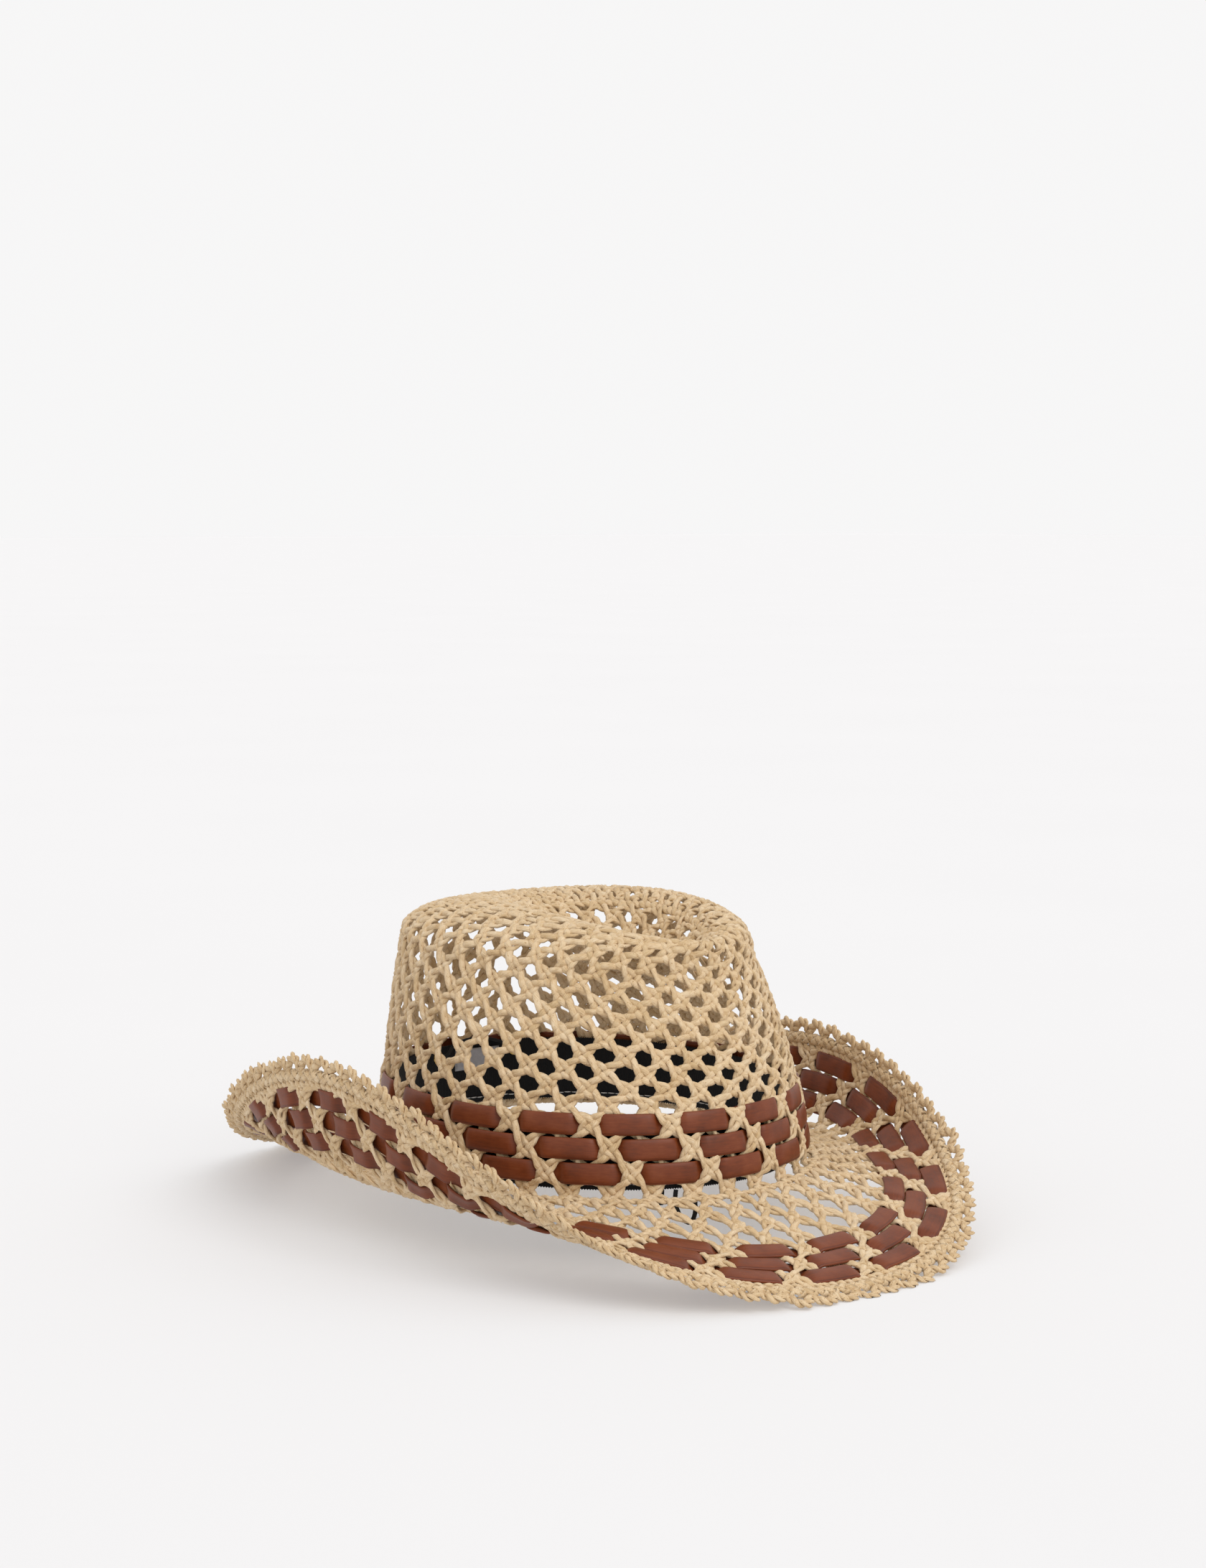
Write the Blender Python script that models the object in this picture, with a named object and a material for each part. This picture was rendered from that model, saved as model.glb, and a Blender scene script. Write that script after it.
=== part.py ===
"""Woven straw cowboy hat with leather straps laced through the crown and the brim.

Metres, +Z up.  The hat stands on its own brim, as on a table: Z = 0 is the table.
Y is the long way through the head opening, with the front of the hat towards -Y.
X is across the head.  The origin is on the table, under the middle of the brim.
"""

from math import cos, sin, pi, radians

import bmesh
import bpy
import numpy as np
from mathutils import Matrix, Vector

MM = 0.001
GAP = 0.3 * MM                    # clearance between pieces that touch

# Head opening, measured at the middle of the weave
HEAD_HALF_WIDTH = 84.5 * MM
HEAD_HALF_LENGTH = 97.0 * MM
HEAD_FRONT_SHIFT = 5.5 * MM       # the head opening sits a little forward of the brim's middle
FOOT_HEIGHT = 27.2 * MM           # where the crown meets the brim, above the table

# Weave
WEAVE_THICKNESS = 3.0 * MM

# Crown wall, up to the shoulder
SHOULDER_HALF_WIDTH = 67.0 * MM
SHOULDER_HALF_LENGTH = 84.0 * MM
SHOULDER_BACK_SHIFT = 7.5 * MM
SHOULDER_HEIGHT = 113.0 * MM
SHOULDER_BACK_RISE = 3.0 * MM
SHOULDER_GAP = 5 * GAP             # between the wall and the top, because the weave bends there
WALL_LEAN = 1.65                   # 1 is a straight cone, more keeps the foot upright

# Crest round the dent in the top of the crown
CREST_HALF_WIDTH = 39.0 * MM
CREST_HALF_LENGTH = 63.5 * MM
CREST_FRONT_SHIFT = 12.5 * MM
CREST_SIDE_SHIFT = 3.0 * MM
CREST_BACK_WIDENING = 0.05
CREST_HEIGHT = 127.8 * MM
CREST_BACK_RISE = 3.0 * MM
CREST_SIDE_RISE = 3.0 * MM
DENT_DEPTH = 27.0 * MM
DENT_FRONT_SHIFT = 20.0 * MM

# Outer edge of the brim
EDGE_HALF_WIDTH = 123.5 * MM
EDGE_HALF_LENGTH = 178.0 * MM
EDGE_SQUARENESS = 2.4            # 2 is an ellipse, more is squarer
EDGE_MEAN_HEIGHT = 29.1 * MM
EDGE_SIDE_ROLL = 33.8 * MM        # sides up, front and back down
EDGE_END_FLATTENING = 5.4 * MM
EDGE_LEFT_LIFT = 5.1 * MM
EDGE_TWIST = -3.7 * MM
ROLL_FLOOR_HEIGHT = 9.7 * MM      # height that the side roll starts out towards

# Border of the brim
BORDER_WIDTH = 8.0 * MM
BORDER_THICKNESS = 5.0 * MM
WIRE_DIAMETER = 1.6 * MM

# Leather straps
STRAP_WIDTH = 8.6 * MM
STRAP_THICKNESS = 1.2 * MM
CROWN_STRAP_HEIGHTS = {"lower": 8.8 * MM, "middle": 18.2 * MM, "upper": 27.6 * MM}
BRIM_STRAP_GAP = 5 * GAP          # wider, because the brim twists under a strap
BRIM_STRAP_INSETS = {"outer": 13.5 * MM, "middle": 23.2 * MM, "inner": 32.9 * MM}

# Sweatband
BAND_BOTTOM = 1.8 * MM            # above the crown's foot
BAND_TOP = 29.8 * MM
BAND_THICKNESS = 0.8 * MM
STITCH_LINE = 2.5 * MM            # above the band's lower edge
STITCH_THICKNESS = 0.6 * MM

# Sizing cord and the two eyelets at the back of the band
EYELET_ANGLES = {"left": radians(70), "right": radians(100)}
EYELET_HEIGHT = 25.3 * MM         # above the crown's foot
EYELET_BORE = 1.4 * MM
EYELET_BARREL = 2.0 * MM
EYELET_FLANGE = 3.2 * MM
EYELET_HOLE = 2.4 * MM
CORD_DIAMETER = 1.6 * MM

# Labels and the hang loop
LABEL_HALF_ANGLE = radians(8.4)
LABEL_CENTRE = radians(84)
LABEL_BOTTOM = 17.6 * MM
LABEL_TOP = 27.1 * MM
LABEL_THICKNESS = 0.5 * MM
CARE_ANGLE = radians(-116.5)
CARE_HALF_ANGLE = radians(2.3)
CARE_DROP = 7.1 * MM
LOOP_DIAMETER = 2.0 * MM

CROWN_SEGMENTS = 56
BRIM_SEGMENTS = 60
WALL_RINGS = 7
SHOULDER_RINGS = 4
DENT_RINGS = 4


# ---------------------------------------------------------------- surfaces

def foot_point(angle):
    """The line where the crown meets the brim."""
    return Vector((HEAD_HALF_WIDTH * cos(angle),
                   HEAD_HALF_LENGTH * sin(angle) - HEAD_FRONT_SHIFT,
                   FOOT_HEIGHT))


def shoulder_point(angle):
    """The line where the crown wall starts to turn over."""
    return Vector((SHOULDER_HALF_WIDTH * cos(angle) + CREST_SIDE_SHIFT / 2,
                   SHOULDER_HALF_LENGTH * sin(angle) + SHOULDER_BACK_SHIFT,
                   SHOULDER_HEIGHT + SHOULDER_BACK_RISE * sin(angle)))


def crest_point(angle):
    """The highest line of the crown, round the dent."""
    width = CREST_HALF_WIDTH * (1 + CREST_BACK_WIDENING * sin(angle))
    return Vector((width * cos(angle) + CREST_SIDE_SHIFT,
                   CREST_HALF_LENGTH * sin(angle) - CREST_FRONT_SHIFT,
                   CREST_HEIGHT + CREST_BACK_RISE * sin(angle) + CREST_SIDE_RISE * cos(2 * angle)))


def wall_point(angle, rise):
    """A point of the crown wall, upright below the foot: rise is 0 there and 1 at the shoulder."""
    point = foot_point(angle).lerp(shoulder_point(angle), max(rise, 0) ** WALL_LEAN)
    point.z = FOOT_HEIGHT + (shoulder_point(angle).z - FOOT_HEIGHT) * rise
    return point


def turnover_point(angle, turn):
    """A point of the rounded shoulder: turn is 0 at the shoulder and 1 at the crest."""
    start = shoulder_point(angle)
    end = crest_point(angle)
    point = start.lerp(end, 1 - cos(turn * pi / 2))
    point.z = start.z + (end.z - start.z) * sin(turn * pi / 2)
    return point


def dent_centre():
    """The lowest point of the dent."""
    return Vector((CREST_SIDE_SHIFT, -CREST_FRONT_SHIFT - DENT_FRONT_SHIFT,
                   CREST_HEIGHT - DENT_DEPTH))


def dent_point(angle, inward):
    """A point of the dent: inward is 0 at the crest and 1 at the lowest point."""
    start = crest_point(angle)
    end = dent_centre()
    point = start.lerp(end, inward)
    point.z = end.z + (start.z - end.z) * (0.5 + 0.5 * cos(pi * inward))
    return point


def edge_point(angle):
    """The outer edge of the brim: rolled up at the sides, down at the front and back."""
    across = cos(angle)
    along = sin(angle)
    reach = (abs(across) ** EDGE_SQUARENESS + abs(along) ** EDGE_SQUARENESS) ** (-1 / EDGE_SQUARENESS)
    height = (EDGE_MEAN_HEIGHT + EDGE_SIDE_ROLL * cos(2 * angle) + EDGE_END_FLATTENING * cos(4 * angle)
              - EDGE_LEFT_LIFT * across ** 3 + EDGE_TWIST * 2 * across ** 2 * sin(2 * angle))
    return Vector((EDGE_HALF_WIDTH * reach * across,
                   EDGE_HALF_LENGTH * reach * along,
                   height))


def brim_point(angle, out):
    """A point of the brim: out is 0 at the crown's foot and 1 at the edge."""
    start = foot_point(angle)
    end = edge_point(angle)
    sideways = 0.5 + 0.5 * cos(2 * angle)
    bend = start.lerp(end, 0.5 + 0.5 * sideways)
    bend.z = (start.z + end.z) / 2 * (1 - sideways) + ROLL_FLOOR_HEIGHT * sideways
    return start * (1 - out) ** 2 + bend * (2 * out * (1 - out)) + end * out ** 2


def brim_inset(angle, inset):
    """A brim point at a distance from the edge, measured along the brim."""
    outs = np.linspace(0, 1, 41)
    points = [brim_point(angle, out) for out in outs]
    steps = [(b - a).length for a, b in zip(points, points[1:])]
    travelled = np.concatenate(([0], np.cumsum(steps)))
    return brim_point(angle, float(np.interp(travelled[-1] - inset, travelled, outs)))


def brim_frame(angle, inset):
    """Point, outward direction along the brim, and upward normal at an inset from the edge."""
    small = 0.5 * MM
    point = brim_inset(angle, inset)
    outward = (brim_inset(angle, inset - small) - brim_inset(angle, inset + small)).normalized()
    sideways = brim_inset(angle + 0.01, inset) - brim_inset(angle - 0.01, inset)
    normal = outward.cross(sideways).normalized()
    return point, outward, normal


def wall_at_height(angle, height):
    """Point and outward normal of the crown wall at a height above the crown's foot."""
    rise = height / (shoulder_point(angle).z - FOOT_HEIGHT)
    point = wall_point(angle, rise)
    around = wall_point(angle + 0.01, rise) - wall_point(angle - 0.01, rise)
    upward = wall_point(angle, rise + 0.01) - wall_point(angle, rise - 0.01)
    return point, around.cross(upward).normalized()


# ---------------------------------------------------------------- mesh helpers

def material(name, colour, roughness, metallic=0.0):
    """A plain Principled material."""
    finish = bpy.data.materials.new(name)
    finish.use_nodes = True
    shader = finish.node_tree.nodes["Principled BSDF"]
    shader.inputs["Base Color"].default_value = (*colour, 1)
    shader.inputs["Roughness"].default_value = roughness
    shader.inputs["Metallic"].default_value = metallic
    return finish


def add_object(name, mesh, finish):
    """Put a mesh in the scene under its piece's name."""
    mesh.materials.append(finish)
    mesh.shade_smooth()
    mesh.set_sharp_from_angle(angle=radians(35))
    piece = bpy.data.objects.new(name, mesh)
    bpy.context.scene.collection.objects.link(piece)
    return piece


def mesh_from(name, points, faces):
    """A mesh with its faces pointing out."""
    mesh = bpy.data.meshes.new(name)
    mesh.from_pydata([tuple(point) for point in points], [], faces)
    work = bmesh.new()
    work.from_mesh(mesh)
    bmesh.ops.recalc_face_normals(work, faces=work.faces)
    closed = all(len(edge.link_faces) == 2 for edge in work.edges)
    if closed and work.calc_volume(signed=True) < 0:
        bmesh.ops.reverse_faces(work, faces=work.faces)
    work.to_mesh(mesh)
    work.free()
    return mesh


def grid_faces(rows, columns, close_rows, close_columns):
    """Quads between rows of points that are stored one after the other."""
    faces = []
    for row in range(rows if close_rows else rows - 1):
        for column in range(columns if close_columns else columns - 1):
            next_row = (row + 1) % rows
            next_column = (column + 1) % columns
            faces.append((row * columns + column, row * columns + next_column,
                          next_row * columns + next_column, next_row * columns + column))
    return faces


def ring(name, sections, finish):
    """A closed ring from the same outline placed at every angle."""
    points = [point for section in sections for point in section]
    faces = grid_faces(len(sections), len(sections[0]), True, True)
    return add_object(name, mesh_from(name, points, faces), finish)


def bar(name, sections, finish):
    """A bar from an outline placed at each station, closed at both ends."""
    size = len(sections[0])
    points = [point for section in sections for point in section]
    faces = grid_faces(len(sections), size, False, True)
    faces.append(tuple(range(size)))
    faces.append(tuple(range(len(points) - size, len(points))))
    return add_object(name, mesh_from(name, points, faces), finish)


def angles(count):
    """Evenly spaced angles round the hat."""
    return [2 * pi * step / count for step in range(count)]


def band_section(angle, bottom, top, offset, thickness, levels=2):
    """Outline of a band that hugs the crown wall, offset inwards from the middle of the weave."""
    outline = []
    for side in (-0.5, 0.5):
        heights = np.linspace(bottom, top, levels)
        for height in (heights if side < 0 else heights[::-1]):
            point, normal = wall_at_height(angle, float(height))
            outline.append(point - normal * (offset + side * thickness))
    return outline


# ---------------------------------------------------------------- pieces

def make_shell(name, rows, centre, finish):
    """A woven shell through rows of points, with a closed middle where a centre is given."""
    points = [point for row in rows for point in row]
    faces = grid_faces(len(rows), CROWN_SEGMENTS, False, True)
    if centre is not None:
        points.append(centre)
        last_row = len(points) - 1 - CROWN_SEGMENTS
        for step in range(CROWN_SEGMENTS):
            faces.append((last_row + step, last_row + (step + 1) % CROWN_SEGMENTS, len(points) - 1))
    shell = add_object(name, mesh_from(name, points, faces), finish)
    thicken = shell.modifiers.new("thickness", "SOLIDIFY")
    thicken.thickness = WEAVE_THICKNESS
    thicken.offset = 0
    return shell


def make_crown_wall(finish):
    """The woven wall of the crown, from just above the brim to the shoulder."""
    wall_height = SHOULDER_HEIGHT - FOOT_HEIGHT
    first = (WEAVE_THICKNESS / 2 + 2 * GAP) / wall_height
    last = 1 - SHOULDER_GAP / 2 / wall_height
    rows = [[wall_point(angle, float(rise)) for angle in angles(CROWN_SEGMENTS)]
            for rise in np.linspace(first, last, WALL_RINGS)]
    return make_shell("crown_wall_weave", rows, None, finish)


def make_crown_top(finish):
    """The woven top of the crown: rounded shoulder, crest and dent."""
    first_turn = SHOULDER_GAP / 2 / (CREST_HEIGHT - SHOULDER_HEIGHT) * 2 / pi
    rows = [[turnover_point(angle, float(turn)) for angle in angles(CROWN_SEGMENTS)]
            for turn in np.linspace(first_turn, 1, SHOULDER_RINGS + 1)]
    for step in range(1, DENT_RINGS):
        rows.append([dent_point(angle, step / DENT_RINGS) for angle in angles(CROWN_SEGMENTS)])
    return make_shell("crown_top_weave", rows, dent_centre(), finish)


def make_brim(finish):
    """The woven brim, from the crown's foot to the border."""
    strap_edges = [inset + side * STRAP_WIDTH / 2 for inset in BRIM_STRAP_INSETS.values() for side in (-1, 1)]
    sections = []
    for angle in angles(BRIM_SEGMENTS):
        length = sum((brim_point(angle, (step + 1) / 40) - brim_point(angle, step / 40)).length
                     for step in range(40))
        inner_part = np.linspace(strap_edges[-1], length - 0.6 * MM, 4)[1:]
        frames = [brim_frame(angle, float(inset)) for inset in [*strap_edges, *inner_part]]
        upper = [point + normal * WEAVE_THICKNESS / 2 for point, outward, normal in frames]
        lower = [point - normal * WEAVE_THICKNESS / 2 for point, outward, normal in frames]
        sections.append(upper + lower[::-1])
    return ring("brim_weave", sections, finish)


def make_border(finish):
    """The dense border of the brim, folded over the wire, with its open side towards the crown."""
    half_width = BORDER_WIDTH / 2
    half_thick = BORDER_THICKNESS / 2
    groove = WIRE_DIAMETER / 2 + GAP
    corner = 0.6 * MM
    outline = [(-half_width, -half_thick), (0, -half_thick), (half_width - corner, -half_thick),
               (half_width, -half_thick / 2), (half_width, half_thick / 2),
               (half_width - corner, half_thick), (-half_width, half_thick),
               (-half_width, groove), (half_width / 2, groove),
               (half_width / 2, -groove), (-half_width, -groove)]
    sections = []
    for angle in angles(BRIM_SEGMENTS):
        point, outward, normal = brim_frame(angle, half_width)
        section = [point + outward * along + normal * up for along, up in outline]
        for low_point in section[:5]:
            low_point.z = max(low_point.z, 0)
        sections.append(section)
    return ring("brim_edge_braid", sections, finish)


def make_wire(finish):
    """The shaping wire inside the border."""
    radius = WIRE_DIAMETER / 2
    sections = []
    for angle in angles(BRIM_SEGMENTS):
        point, outward, normal = brim_frame(angle, BORDER_WIDTH / 2)
        centre = point + outward * (BORDER_WIDTH / 4 - radius - GAP)
        sections.append([centre + outward * radius * cos(turn) + normal * radius * sin(turn)
                         for turn in angles(6)])
    return ring("brim_wire", sections, finish)


def make_crown_strap(name, height, finish):
    """A leather strap round the outside of the crown."""
    offset = -(WEAVE_THICKNESS / 2 + GAP + STRAP_THICKNESS / 2)
    sections = [band_section(angle, height - STRAP_WIDTH / 2, height + STRAP_WIDTH / 2,
                             offset, STRAP_THICKNESS) for angle in angles(CROWN_SEGMENTS)]
    return ring(name, sections, finish)


def make_brim_strap(name, inset, finish):
    """A leather strap round the brim, on its upper face."""
    bottom = WEAVE_THICKNESS / 2 + BRIM_STRAP_GAP
    sections = []
    for angle in angles(BRIM_SEGMENTS):
        section = []
        for along, up in ((-0.5, 0), (0.5, 0), (0.5, 1), (-0.5, 1)):
            point, outward, normal = brim_frame(angle, inset - along * STRAP_WIDTH)
            section.append(point + normal * (bottom + up * STRAP_THICKNESS))
        sections.append(section)
    return ring(name, sections, finish)


def band_middle():
    """How far inside the middle of the weave the middle of the sweatband lies."""
    return WEAVE_THICKNESS / 2 + GAP + BAND_THICKNESS / 2


def make_band(finish, cutters):
    """The ribbon sweatband inside the crown, with a hole for each eyelet."""
    sections = [band_section(angle, BAND_BOTTOM, BAND_TOP, band_middle(), BAND_THICKNESS, levels=3)
                for angle in angles(CROWN_SEGMENTS)]
    band = ring("sweatband", sections, finish)
    for cutter in cutters:
        cut = band.modifiers.new("eyelet_hole", "BOOLEAN")
        cut.operation = "DIFFERENCE"
        cut.object = cutter
    return band


def make_stitching(finish):
    """The thread along the lower edge of the sweatband, on its inner face."""
    offset = band_middle() + BAND_THICKNESS / 2 + GAP + STITCH_THICKNESS / 2
    middle = BAND_BOTTOM + STITCH_LINE
    sections = [band_section(angle, middle - STITCH_THICKNESS / 2, middle + STITCH_THICKNESS / 2,
                             offset, STITCH_THICKNESS) for angle in angles(CROWN_SEGMENTS)]
    return ring("sweatband_stitching", sections, finish)


def make_patch(name, centre, half_angle, bottom, top, offset, thickness, finish):
    """A small label that follows the crown wall."""
    stations = np.linspace(centre - half_angle, centre + half_angle, 7)
    sections = [band_section(float(angle), bottom, top, offset, thickness) for angle in stations]
    return bar(name, sections, finish)


def eyelet_frame(angle):
    """Middle of the eyelet on the sweatband, and the direction into the hat."""
    point, normal = wall_at_height(angle, EYELET_HEIGHT)
    return point - normal * band_middle(), -normal


def turned(name, centre, axis, profile, sides, finish):
    """A ring turned round an axis from a closed outline of radius and height."""
    turn = axis.to_track_quat("Z", "Y").to_matrix()
    sections = [[centre + turn @ Vector((radius * cos(side), radius * sin(side), height))
                 for radius, height in profile] for side in angles(sides)]
    return ring(name, sections, finish)


def make_eyelet(name, angle, finish):
    """A brass eyelet set in the sweatband, with its flange on the inner face."""
    centre, inward = eyelet_frame(angle)
    back = -BAND_THICKNESS / 2
    face = BAND_THICKNESS / 2 + 1.5 * GAP
    profile = [(EYELET_BORE, back), (EYELET_BARREL, back), (EYELET_BARREL, face),
               (EYELET_FLANGE, face), (EYELET_FLANGE - 0.3 * MM, face + 0.5 * MM),
               (EYELET_BORE, face + 0.5 * MM)]
    return turned(name, centre, inward, profile, 14, finish)


def make_hole_cutter(name, angle, finish):
    """A plain cylinder that cuts the eyelet's hole in the band."""
    centre, inward = eyelet_frame(angle)
    work = bmesh.new()
    bmesh.ops.create_cone(work, cap_ends=True, segments=14, radius1=EYELET_HOLE, radius2=EYELET_HOLE,
                          depth=4 * MM, matrix=Matrix.Translation(centre)
                          @ inward.to_track_quat("Z", "Y").to_matrix().to_4x4())
    mesh = bpy.data.meshes.new(name)
    work.to_mesh(mesh)
    work.free()
    cutter = add_object(name, mesh, finish)
    cutter.hide_render = True
    cutter.display_type = "WIRE"
    return cutter


def smooth_route(points, spacing):
    """Evenly spaced points on a smooth curve through the route's own points."""
    route = [Vector(point) for point in points]
    route = [route[0] * 2 - route[1]] + route + [route[-1] * 2 - route[-2]]
    fine = []
    for p0, p1, p2, p3 in zip(route, route[1:], route[2:], route[3:]):
        for step in range(24):
            t = step / 24
            fine.append(0.5 * (2 * p1 + (p2 - p0) * t + (2 * p0 - 5 * p1 + 4 * p2 - p3) * t ** 2
                               + (3 * p1 - p0 - 3 * p2 + p3) * t ** 3))
    fine.append(route[-2])
    travelled = np.concatenate(([0], np.cumsum([(b - a).length for a, b in zip(fine, fine[1:])])))
    count = max(3, round(travelled[-1] / spacing) + 1)
    wanted = np.linspace(0, travelled[-1], count)
    return [Vector([float(np.interp(at, travelled, [point[axis] for point in fine])) for axis in range(3)])
            for at in wanted]


def make_cord(name, route, diameter, finish):
    """A plain round cord along a smooth curve."""
    curve = bpy.data.curves.new(name, "CURVE")
    curve.dimensions = "3D"
    curve.bevel_depth = diameter / 2
    curve.bevel_resolution = 2
    curve.use_fill_caps = True
    points = smooth_route(route, 2.2 * diameter)
    spline = curve.splines.new("POLY")
    spline.points.add(len(points) - 1)
    for knot, point in zip(spline.points, points):
        knot.co = (*point, 1)
    curve.materials.append(finish)
    piece = bpy.data.objects.new(name, curve)
    bpy.context.scene.collection.objects.link(piece)
    return piece


# Route of the sizing cord, from the left eyelet over the label to the right one, in millimetres
SIZING_CORD_ROUTE = [(27.6, 84.1, 52.5), (26.1, 80.6, 52.5), (22.3, 80.1, 54.2), (18.2, 82.8, 56.8),
                     (12.4, 85.3, 58.4), (6.2, 86.3, 58.8), (0.0, 86.4, 58.2), (-6.2, 85.1, 56.5),
                     (-10.0, 83.2, 54.3), (-12.9, 84.6, 52.5), (-13.7, 88.3, 52.5)]
HANG_LOOP_ROUTE = [(-21.6, -95.4, 28.4), (-21.5, -95.7, 26.4), (-21.6, -96.2, 23.0), (-22.6, -97.2, 18.8),
                   (-25.2, -98.1, 16.0), (-28.0, -97.7, 16.4), (-29.9, -95.7, 19.6), (-29.8, -93.6, 23.8),
                   (-29.2, -92.9, 26.4), (-28.7, -92.7, 28.4)]


def clear_scene():
    """Start from an empty scene."""
    for leftover in list(bpy.data.objects):
        bpy.data.objects.remove(leftover, do_unlink=True)


def main():
    """Build every piece of the hat."""
    clear_scene()
    straw = material("straw_weave", (0.73, 0.52, 0.27), 0.65)
    border_straw = material("straw_border", (0.70, 0.49, 0.25), 0.68)
    wire = material("brim_wire_steel", (0.55, 0.55, 0.55), 0.35, 1.0)
    leather = material("brown_leather", (0.19, 0.06, 0.03), 0.38)
    ribbon = material("black_ribbon", (0.012, 0.012, 0.013), 0.75)
    thread = material("white_thread", (0.8, 0.8, 0.78), 0.6)
    brass = material("brass", (0.62, 0.42, 0.13), 0.28, 1.0)
    black_cord = material("black_cord", (0.01, 0.01, 0.01), 0.6)
    satin = material("grey_satin", (0.38, 0.38, 0.40), 0.3)

    make_crown_wall(straw)
    make_crown_top(straw)
    make_brim(straw)
    make_border(border_straw)
    make_wire(wire)
    for place, height in CROWN_STRAP_HEIGHTS.items():
        make_crown_strap(f"crown_strap_{place}", height, leather)
    for place, inset in BRIM_STRAP_INSETS.items():
        make_brim_strap(f"brim_strap_{place}", inset, leather)

    cutters = [make_hole_cutter(f"hole_cutter_{side}", angle, ribbon) for side, angle in EYELET_ANGLES.items()]
    make_band(ribbon, cutters)
    make_stitching(thread)
    for side, angle in EYELET_ANGLES.items():
        make_eyelet(f"eyelet_{side}", angle, brass)
    inner_face = band_middle() + BAND_THICKNESS / 2 + GAP + LABEL_THICKNESS / 2
    make_patch("inner_label", LABEL_CENTRE, LABEL_HALF_ANGLE, LABEL_BOTTOM, LABEL_TOP,
               inner_face, LABEL_THICKNESS, satin)
    make_patch("care_label", CARE_ANGLE, CARE_HALF_ANGLE, BAND_BOTTOM - GAP - CARE_DROP, BAND_BOTTOM - GAP,
               band_middle(), BAND_THICKNESS, ribbon)
    make_cord("sizing_cord", [Vector(point) * MM for point in SIZING_CORD_ROUTE], CORD_DIAMETER, black_cord)
    make_cord("hang_loop", [Vector(point) * MM for point in HANG_LOOP_ROUTE], LOOP_DIAMETER, black_cord)


main()
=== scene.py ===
"""The looks of the woven straw cowboy hat: open net, laced straps, border, sweatband and trim.

Metres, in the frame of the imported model: Z = 0 is the table and the front is towards -Y.
Every part of the hat runs in rings round it.  An angle runs round the hat from +X, and a row counts
the crossings of the net: upwards on the crown, outwards on the brim.
"""

from math import cos, pi, radians, sin

import bpy
import numpy as np
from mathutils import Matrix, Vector


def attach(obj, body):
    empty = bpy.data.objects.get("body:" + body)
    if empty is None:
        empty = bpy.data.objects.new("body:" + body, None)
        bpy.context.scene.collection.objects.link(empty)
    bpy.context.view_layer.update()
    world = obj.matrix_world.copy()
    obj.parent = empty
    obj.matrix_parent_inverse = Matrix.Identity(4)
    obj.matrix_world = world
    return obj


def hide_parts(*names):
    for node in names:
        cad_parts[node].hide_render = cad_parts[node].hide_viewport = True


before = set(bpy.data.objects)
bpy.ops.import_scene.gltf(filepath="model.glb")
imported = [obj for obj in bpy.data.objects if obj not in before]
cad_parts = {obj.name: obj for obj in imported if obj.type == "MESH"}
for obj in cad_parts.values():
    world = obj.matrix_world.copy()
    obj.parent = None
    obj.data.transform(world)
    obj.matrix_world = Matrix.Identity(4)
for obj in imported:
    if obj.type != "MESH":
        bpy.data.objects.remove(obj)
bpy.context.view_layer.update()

MM = 0.001
CHANCE = np.random.default_rng(7)

# The hat's own lines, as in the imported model
HEAD_HALF_WIDTH = 84.5 * MM
HEAD_HALF_LENGTH = 97.0 * MM
HEAD_FRONT_SHIFT = 5.5 * MM
FOOT_HEIGHT = 27.2 * MM
SHOULDER_HALF_WIDTH = 67.0 * MM
SHOULDER_HALF_LENGTH = 84.0 * MM
SHOULDER_BACK_SHIFT = 7.5 * MM
SHOULDER_HEIGHT = 113.0 * MM
SHOULDER_BACK_RISE = 3.0 * MM
WALL_LEAN = 1.65
CREST_HALF_WIDTH = 39.0 * MM
CREST_HALF_LENGTH = 63.5 * MM
CREST_FRONT_SHIFT = 12.5 * MM
CREST_SIDE_SHIFT = 3.0 * MM
CREST_BACK_WIDENING = 0.05
CREST_HEIGHT = 127.8 * MM
CREST_BACK_RISE = 3.0 * MM
CREST_SIDE_RISE = 3.0 * MM
DENT_DEPTH = 27.0 * MM
DENT_FRONT_SHIFT = 20.0 * MM
EDGE_HALF_WIDTH = 123.5 * MM
EDGE_HALF_LENGTH = 178.0 * MM
EDGE_SQUARENESS = 2.4
EDGE_MEAN_HEIGHT = 29.1 * MM
EDGE_SIDE_ROLL = 33.8 * MM
EDGE_END_FLATTENING = 5.4 * MM
EDGE_LEFT_LIFT = 5.1 * MM
EDGE_TWIST = -3.7 * MM
ROLL_FLOOR_HEIGHT = 9.7 * MM

# Net
CROWN_COLUMNS = 34
BRIM_COLUMNS = 52
DENT_COLUMNS = 18
CENTRE_COLUMNS = 9
CROWN_SKIRT = 4.5 * MM              # how far the crown's net runs out onto the brim
CROWN_ROW_HEIGHTS = (0.3 * MM, 8.8 * MM, 18.2 * MM, 27.6 * MM)   # above the foot
CROWN_LAST_ROW = 17
DENT_RING = 0.22                   # how far into the dent the crown's columns halve
CENTRE_RING = 0.70                 # and halve again
CENTRE_END = 0.965                 # and where the net closes
BRIM_ROW_INSETS = (32.9 * MM, 23.2 * MM, 13.5 * MM, 7.0 * MM)     # from the edge
BRIM_INNER_ROWS = 4
CROWN_PHASE = 0.85                 # of a column, turns the net round the hat
BRIM_PHASE = 0.37
YARN_HALF_WIDTH = 1.46 * MM
YARN_HALF_THICKNESS = 0.80 * MM
PAIR_SPREAD = 1.46 * MM            # half the distance between the two yarns of a strand
PAIR_TWIST_HEIGHT = 0.62 * MM
CROSSING_HEIGHT = 0.80 * MM
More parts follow.
